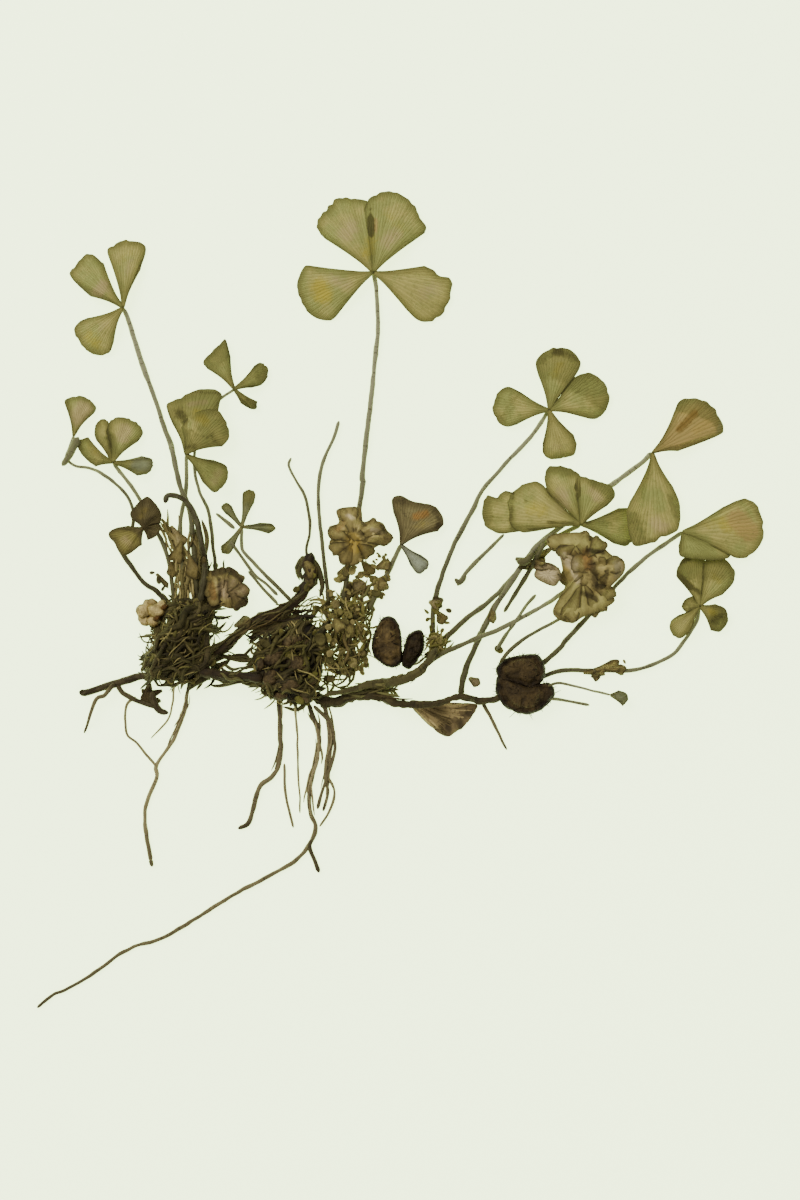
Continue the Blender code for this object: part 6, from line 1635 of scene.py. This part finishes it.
class CLOVER_OT_roots(bpy.types.Operator):
    """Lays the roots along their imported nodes, with the hair roots that have no node"""

    bl_idname = "clover.roots"
    bl_label = "Roots"

    def execute(self, context):
        root = context.scene.clover.root
        material = strand_paint("root", root.dark, root.pale, root.pale)
        swelling = 0.5 + np.sin(math.pi * np.linspace(0, 1, ROOT_TONES))
        for node, (first, last, tone, path), seed in seeded(ROOTS, "roots", 9):
            look = ((first, last), tone * swelling, 0.0, root.waver / MM)
            stand_in(node, "strand", strand(path, *look, seed, node, **ROOT_SHAPE), material)
        fine = each(partial(loose_strand, olive=0.0, waver=0.08), FINE_ROOTS, SEEDS["fine_roots"])
        piece("fine_roots", fine, material)
        piece("root_strands", each(bundle, ROOT_STRANDS, SEEDS["root_strands"]), material)
        return {"FINISHED"}


class CLOVER_OT_rhizome(bpy.types.Operator):
    """Lays the dark wrinkled rhizome between the tufts"""

    bl_idname = "clover.rhizome"
    bl_label = "Rhizome"

    def execute(self, context):
        root = context.scene.clover.root
        material = strand_paint("rhizome", root.rhizome, root.rhizome_pale, context.scene.clover.stem.olive)
        for node, (widths, tone, olive, path), seed in seeded(RHIZOME, "rhizome", 9):
            look = (widths, (tone, tone), olive, RHIZOME_WAVER, seed)
            stand_in(node, "strand", strand(path, *look, node, **RHIZOME_SHAPE), material)
        bundles = each(bundle, RHIZOME_STRANDS, SEEDS["rhizome_strands"])
        piece("rhizome_strands", bundles, material)
        return {"FINISHED"}


class CLOVER_OT_tufts(bpy.types.Operator):
    """Piles each tuft: a dark core, strands of many sizes over it and scraps of leaf between them"""

    bl_idname = "clover.tufts"
    bl_label = "Tufts"

    def execute(self, context):
        tuft = context.scene.clover.tuft
        material = strand_paint("tuft", tuft.dark, tuft.pale, tuft.olive, shine=0.16)
        for node, plan, seed in seeded(TUFTS, "tufts", 100):
            hub, rng = np.array(plan["hub"]), np.random.default_rng(seed)
            core = tuft.core * triangles_of(node)[..., 2].max()
            parts = [lump(pairs(plan["core"]).mean(axis=0), plan["core"], core, seed + 1, **CORE_SKIN)]
            for order, (area, count, way, spread, lengths, *ranges) in enumerate(plan["strands"]):
                count = max(1, round(count * tuft.fullness))
                drawn = [
                    within(hub, plan[area], count, rng),
                    np.radians(rng.normal(way, spread, count)),
                    rng.uniform(*lengths, count),
                    rng.normal(0, BEND_SPREAD, count),
                    *(rng.uniform(*values, count) for values in ranges),
                ]
                parts.append(tangle(*drawn, seed + 10 + order))
            for order, group in enumerate(plan["scraps"]):
                parts.append(strewn(hub, plan["outline"], SCRAP_REACH, rng, seed + 40 + order, *group))
            stand_in(node, "tangle", joined(parts), material)
        piece("old_stem_bundle", each(bundle, OLD_STEMS, SEEDS["old_stems"]), material)
        outline, group = LITTER
        rng = np.random.default_rng(SEEDS["litter"])
        litter = strewn(pairs(outline).mean(axis=0), outline, 1.0, rng, SEEDS["litter"] + 100, *group)
        piece("litter", litter, material)
        x, y, sizes, tones, olives = np.transpose(SCRAPS)
        loose = scraps(np.stack((x, y), axis=1), sizes, np.ones_like(x), tones, olives, SEEDS["scraps"])
        piece("loose_scraps", loose, material)
        return {"FINISHED"}


class CLOVER_OT_spore_cases(bpy.types.Operator):
    """Sets the wrinkled bean-shaped spore cases and the dark bodies in the middle tuft"""

    bl_idname = "clover.spore_cases"
    bl_label = "Spore Cases"

    def execute(self, context):
        tuft = context.scene.clover.tuft
        cases = seeded(CASES, "cases", 9)
        for number, (node, (hub, height, lightness, outline), seed) in enumerate(cases, SEEDS["hairs"]):
            face = tuple(dark + lightness * (light - dark) for dark, light in zip(tuft.case, tuft.case_face))
            skin = lump(np.array(hub), outline, height, seed, **CASE_SKIN)
            hairs = bristles(skin, tuft.hairs, HAIR_LENGTH, number)
            stand_in(node, "skin", joined([skin, hairs]), case_paint(node, tuft.case, face))
        bodies = each(partial(body, BODY_SKIN, SEEDS["bodies"]), BODIES, SEEDS["bodies"], step=1)
        piece("tuft_bodies", bodies, case_paint("dark_body", tuft.body, tuft.body_face))
        return {"FINISHED"}


class CLOVER_OT_buds(bpy.types.Operator):
    """Sets the tan bud and the fan of ribs of the bud scale"""

    bl_idname = "clover.buds"
    bl_label = "Buds"

    def execute(self, context):
        tuft = context.scene.clover.tuft
        lobes = each(partial(body, BUD_SKIN, SEEDS["bud"] - 40), BUD_LOBES, SEEDS["bud"], step=1)
        stand_in("bud_left", "lobes", lobes, case_paint("bud", tuft.bud_dark, tuft.bud))
        eyes = each(partial(body, EYE_SKIN, SEEDS["bud"]), BUD_EYES, SEEDS["eyes"], step=1)
        piece("bud_eyes", eyes, case_paint("bud_eye", tuft.eye, tuft.eye_face))
        outline = [*SCALE_APEX, *SCALE_EDGE, *SCALE_BACK]
        skin = lump(np.array(SCALE_HUB), outline, SCALE_HEIGHT, SEEDS["scale"] - 10, **SCALE_SKIN)
        skin.values["tone"] += SCALE_TONE
        material = strand_paint("bud_scale", tuft.rib_dark, tuft.rib, tuft.olive)
        stand_in("bud_scale", "ribs", joined([skin, scale_ribs()]), material)
        return {"FINISHED"}


class CLOVER_OT_stage(bpy.types.Operator):
    """Sets the pale floor, the soft light and the camera that looks straight down"""

    bl_idname = "clover.stage"
    bl_label = "Stage"

    def execute(self, context):
        stage = context.scene.clover.stage
        mesh = bpy.data.meshes.new("floor")
        corners = [(x * FLOOR_HALF, y * FLOOR_HALF, 0) for x, y in ((-1, -1), (1, -1), (1, 1), (-1, 1))]
        mesh.from_pydata(corners, [], [(0, 1, 2, 3)])
        glow = {"Emission_Color": stage.glow_colour, "Emission_Strength": stage.glow}
        matt = {"Base_Color": stage.floor, "Roughness": 0.9, "Specular_IOR_Level": 0.1}
        mesh.materials.append(Paint("floor").finished(**matt, **glow))
        linked("floor", mesh)

        world = bpy.data.worlds.new("soft_light")
        world.use_nodes = True
        background = world.node_tree.nodes["Background"].inputs
        background["Color"].default_value = SKY_COLOUR
        background["Strength"].default_value = SKY_STRENGTH
        context.scene.world = world

        key = bpy.data.lights.new("key", "AREA")
        key.energy = LAMP_POWER
        key.color = LAMP_COLOUR
        key.size = LAMP_WIDTH
        lamp = linked("key", key)
        lamp.location = LAMP_PLACE
        lamp.rotation_euler = (-lamp.location).to_track_quat("-Z", "Y").to_euler()

        camera = bpy.data.cameras.new("camera")
        camera.lens = stage.lens
        camera.clip_start, camera.clip_end = CAMERA_RANGE
        middle = 0.5 * (Vector(packed_box[0]) + Vector(packed_box[1]))
        context.scene.camera = linked("camera", camera)
        context.scene.camera.location = (*middle.xy, stage.field * stage.lens / camera.sensor_width)
        return {"FINISHED"}


class CLOVER_PT_panel(bpy.types.Panel):
    """Lists the pieces of the plant"""

    bl_idname = "CLOVER_PT_panel"
    bl_label = "Water Clover"
    bl_space_type = "VIEW_3D"
    bl_region_type = "UI"
    bl_category = "Water Clover"

    def draw(self, context):
        for operator in OPERATORS:
            self.layout.operator(operator.bl_idname)


OPERATORS = (
    CLOVER_OT_leaves, CLOVER_OT_crumpled_leaves, CLOVER_OT_stems, CLOVER_OT_roots, CLOVER_OT_rhizome,
    CLOVER_OT_tufts, CLOVER_OT_spore_cases, CLOVER_OT_buds, CLOVER_OT_stage,
)
CLASSES = (
    CloverLeafSettings, CloverStemSettings, CloverRootSettings, CloverTuftSettings, CloverStageSettings,
    CloverSettings, *OPERATORS, CLOVER_PT_panel,
)


def register():
    for group in CLASSES:
        bpy.utils.register_class(group)
    bpy.types.Scene.clover = PointerProperty(type=CloverSettings)


def unregister():
    del bpy.types.Scene.clover
    for group in reversed(CLASSES):
        bpy.utils.unregister_class(group)


def main():
    register()
    bpy.ops.clover.leaves()
    bpy.ops.clover.crumpled_leaves()
    bpy.ops.clover.stems()
    bpy.ops.clover.roots()
    bpy.ops.clover.rhizome()
    bpy.ops.clover.tufts()
    bpy.ops.clover.spore_cases()
    bpy.ops.clover.buds()
    bpy.ops.clover.stage()


if __name__ == "__main__":
    main()
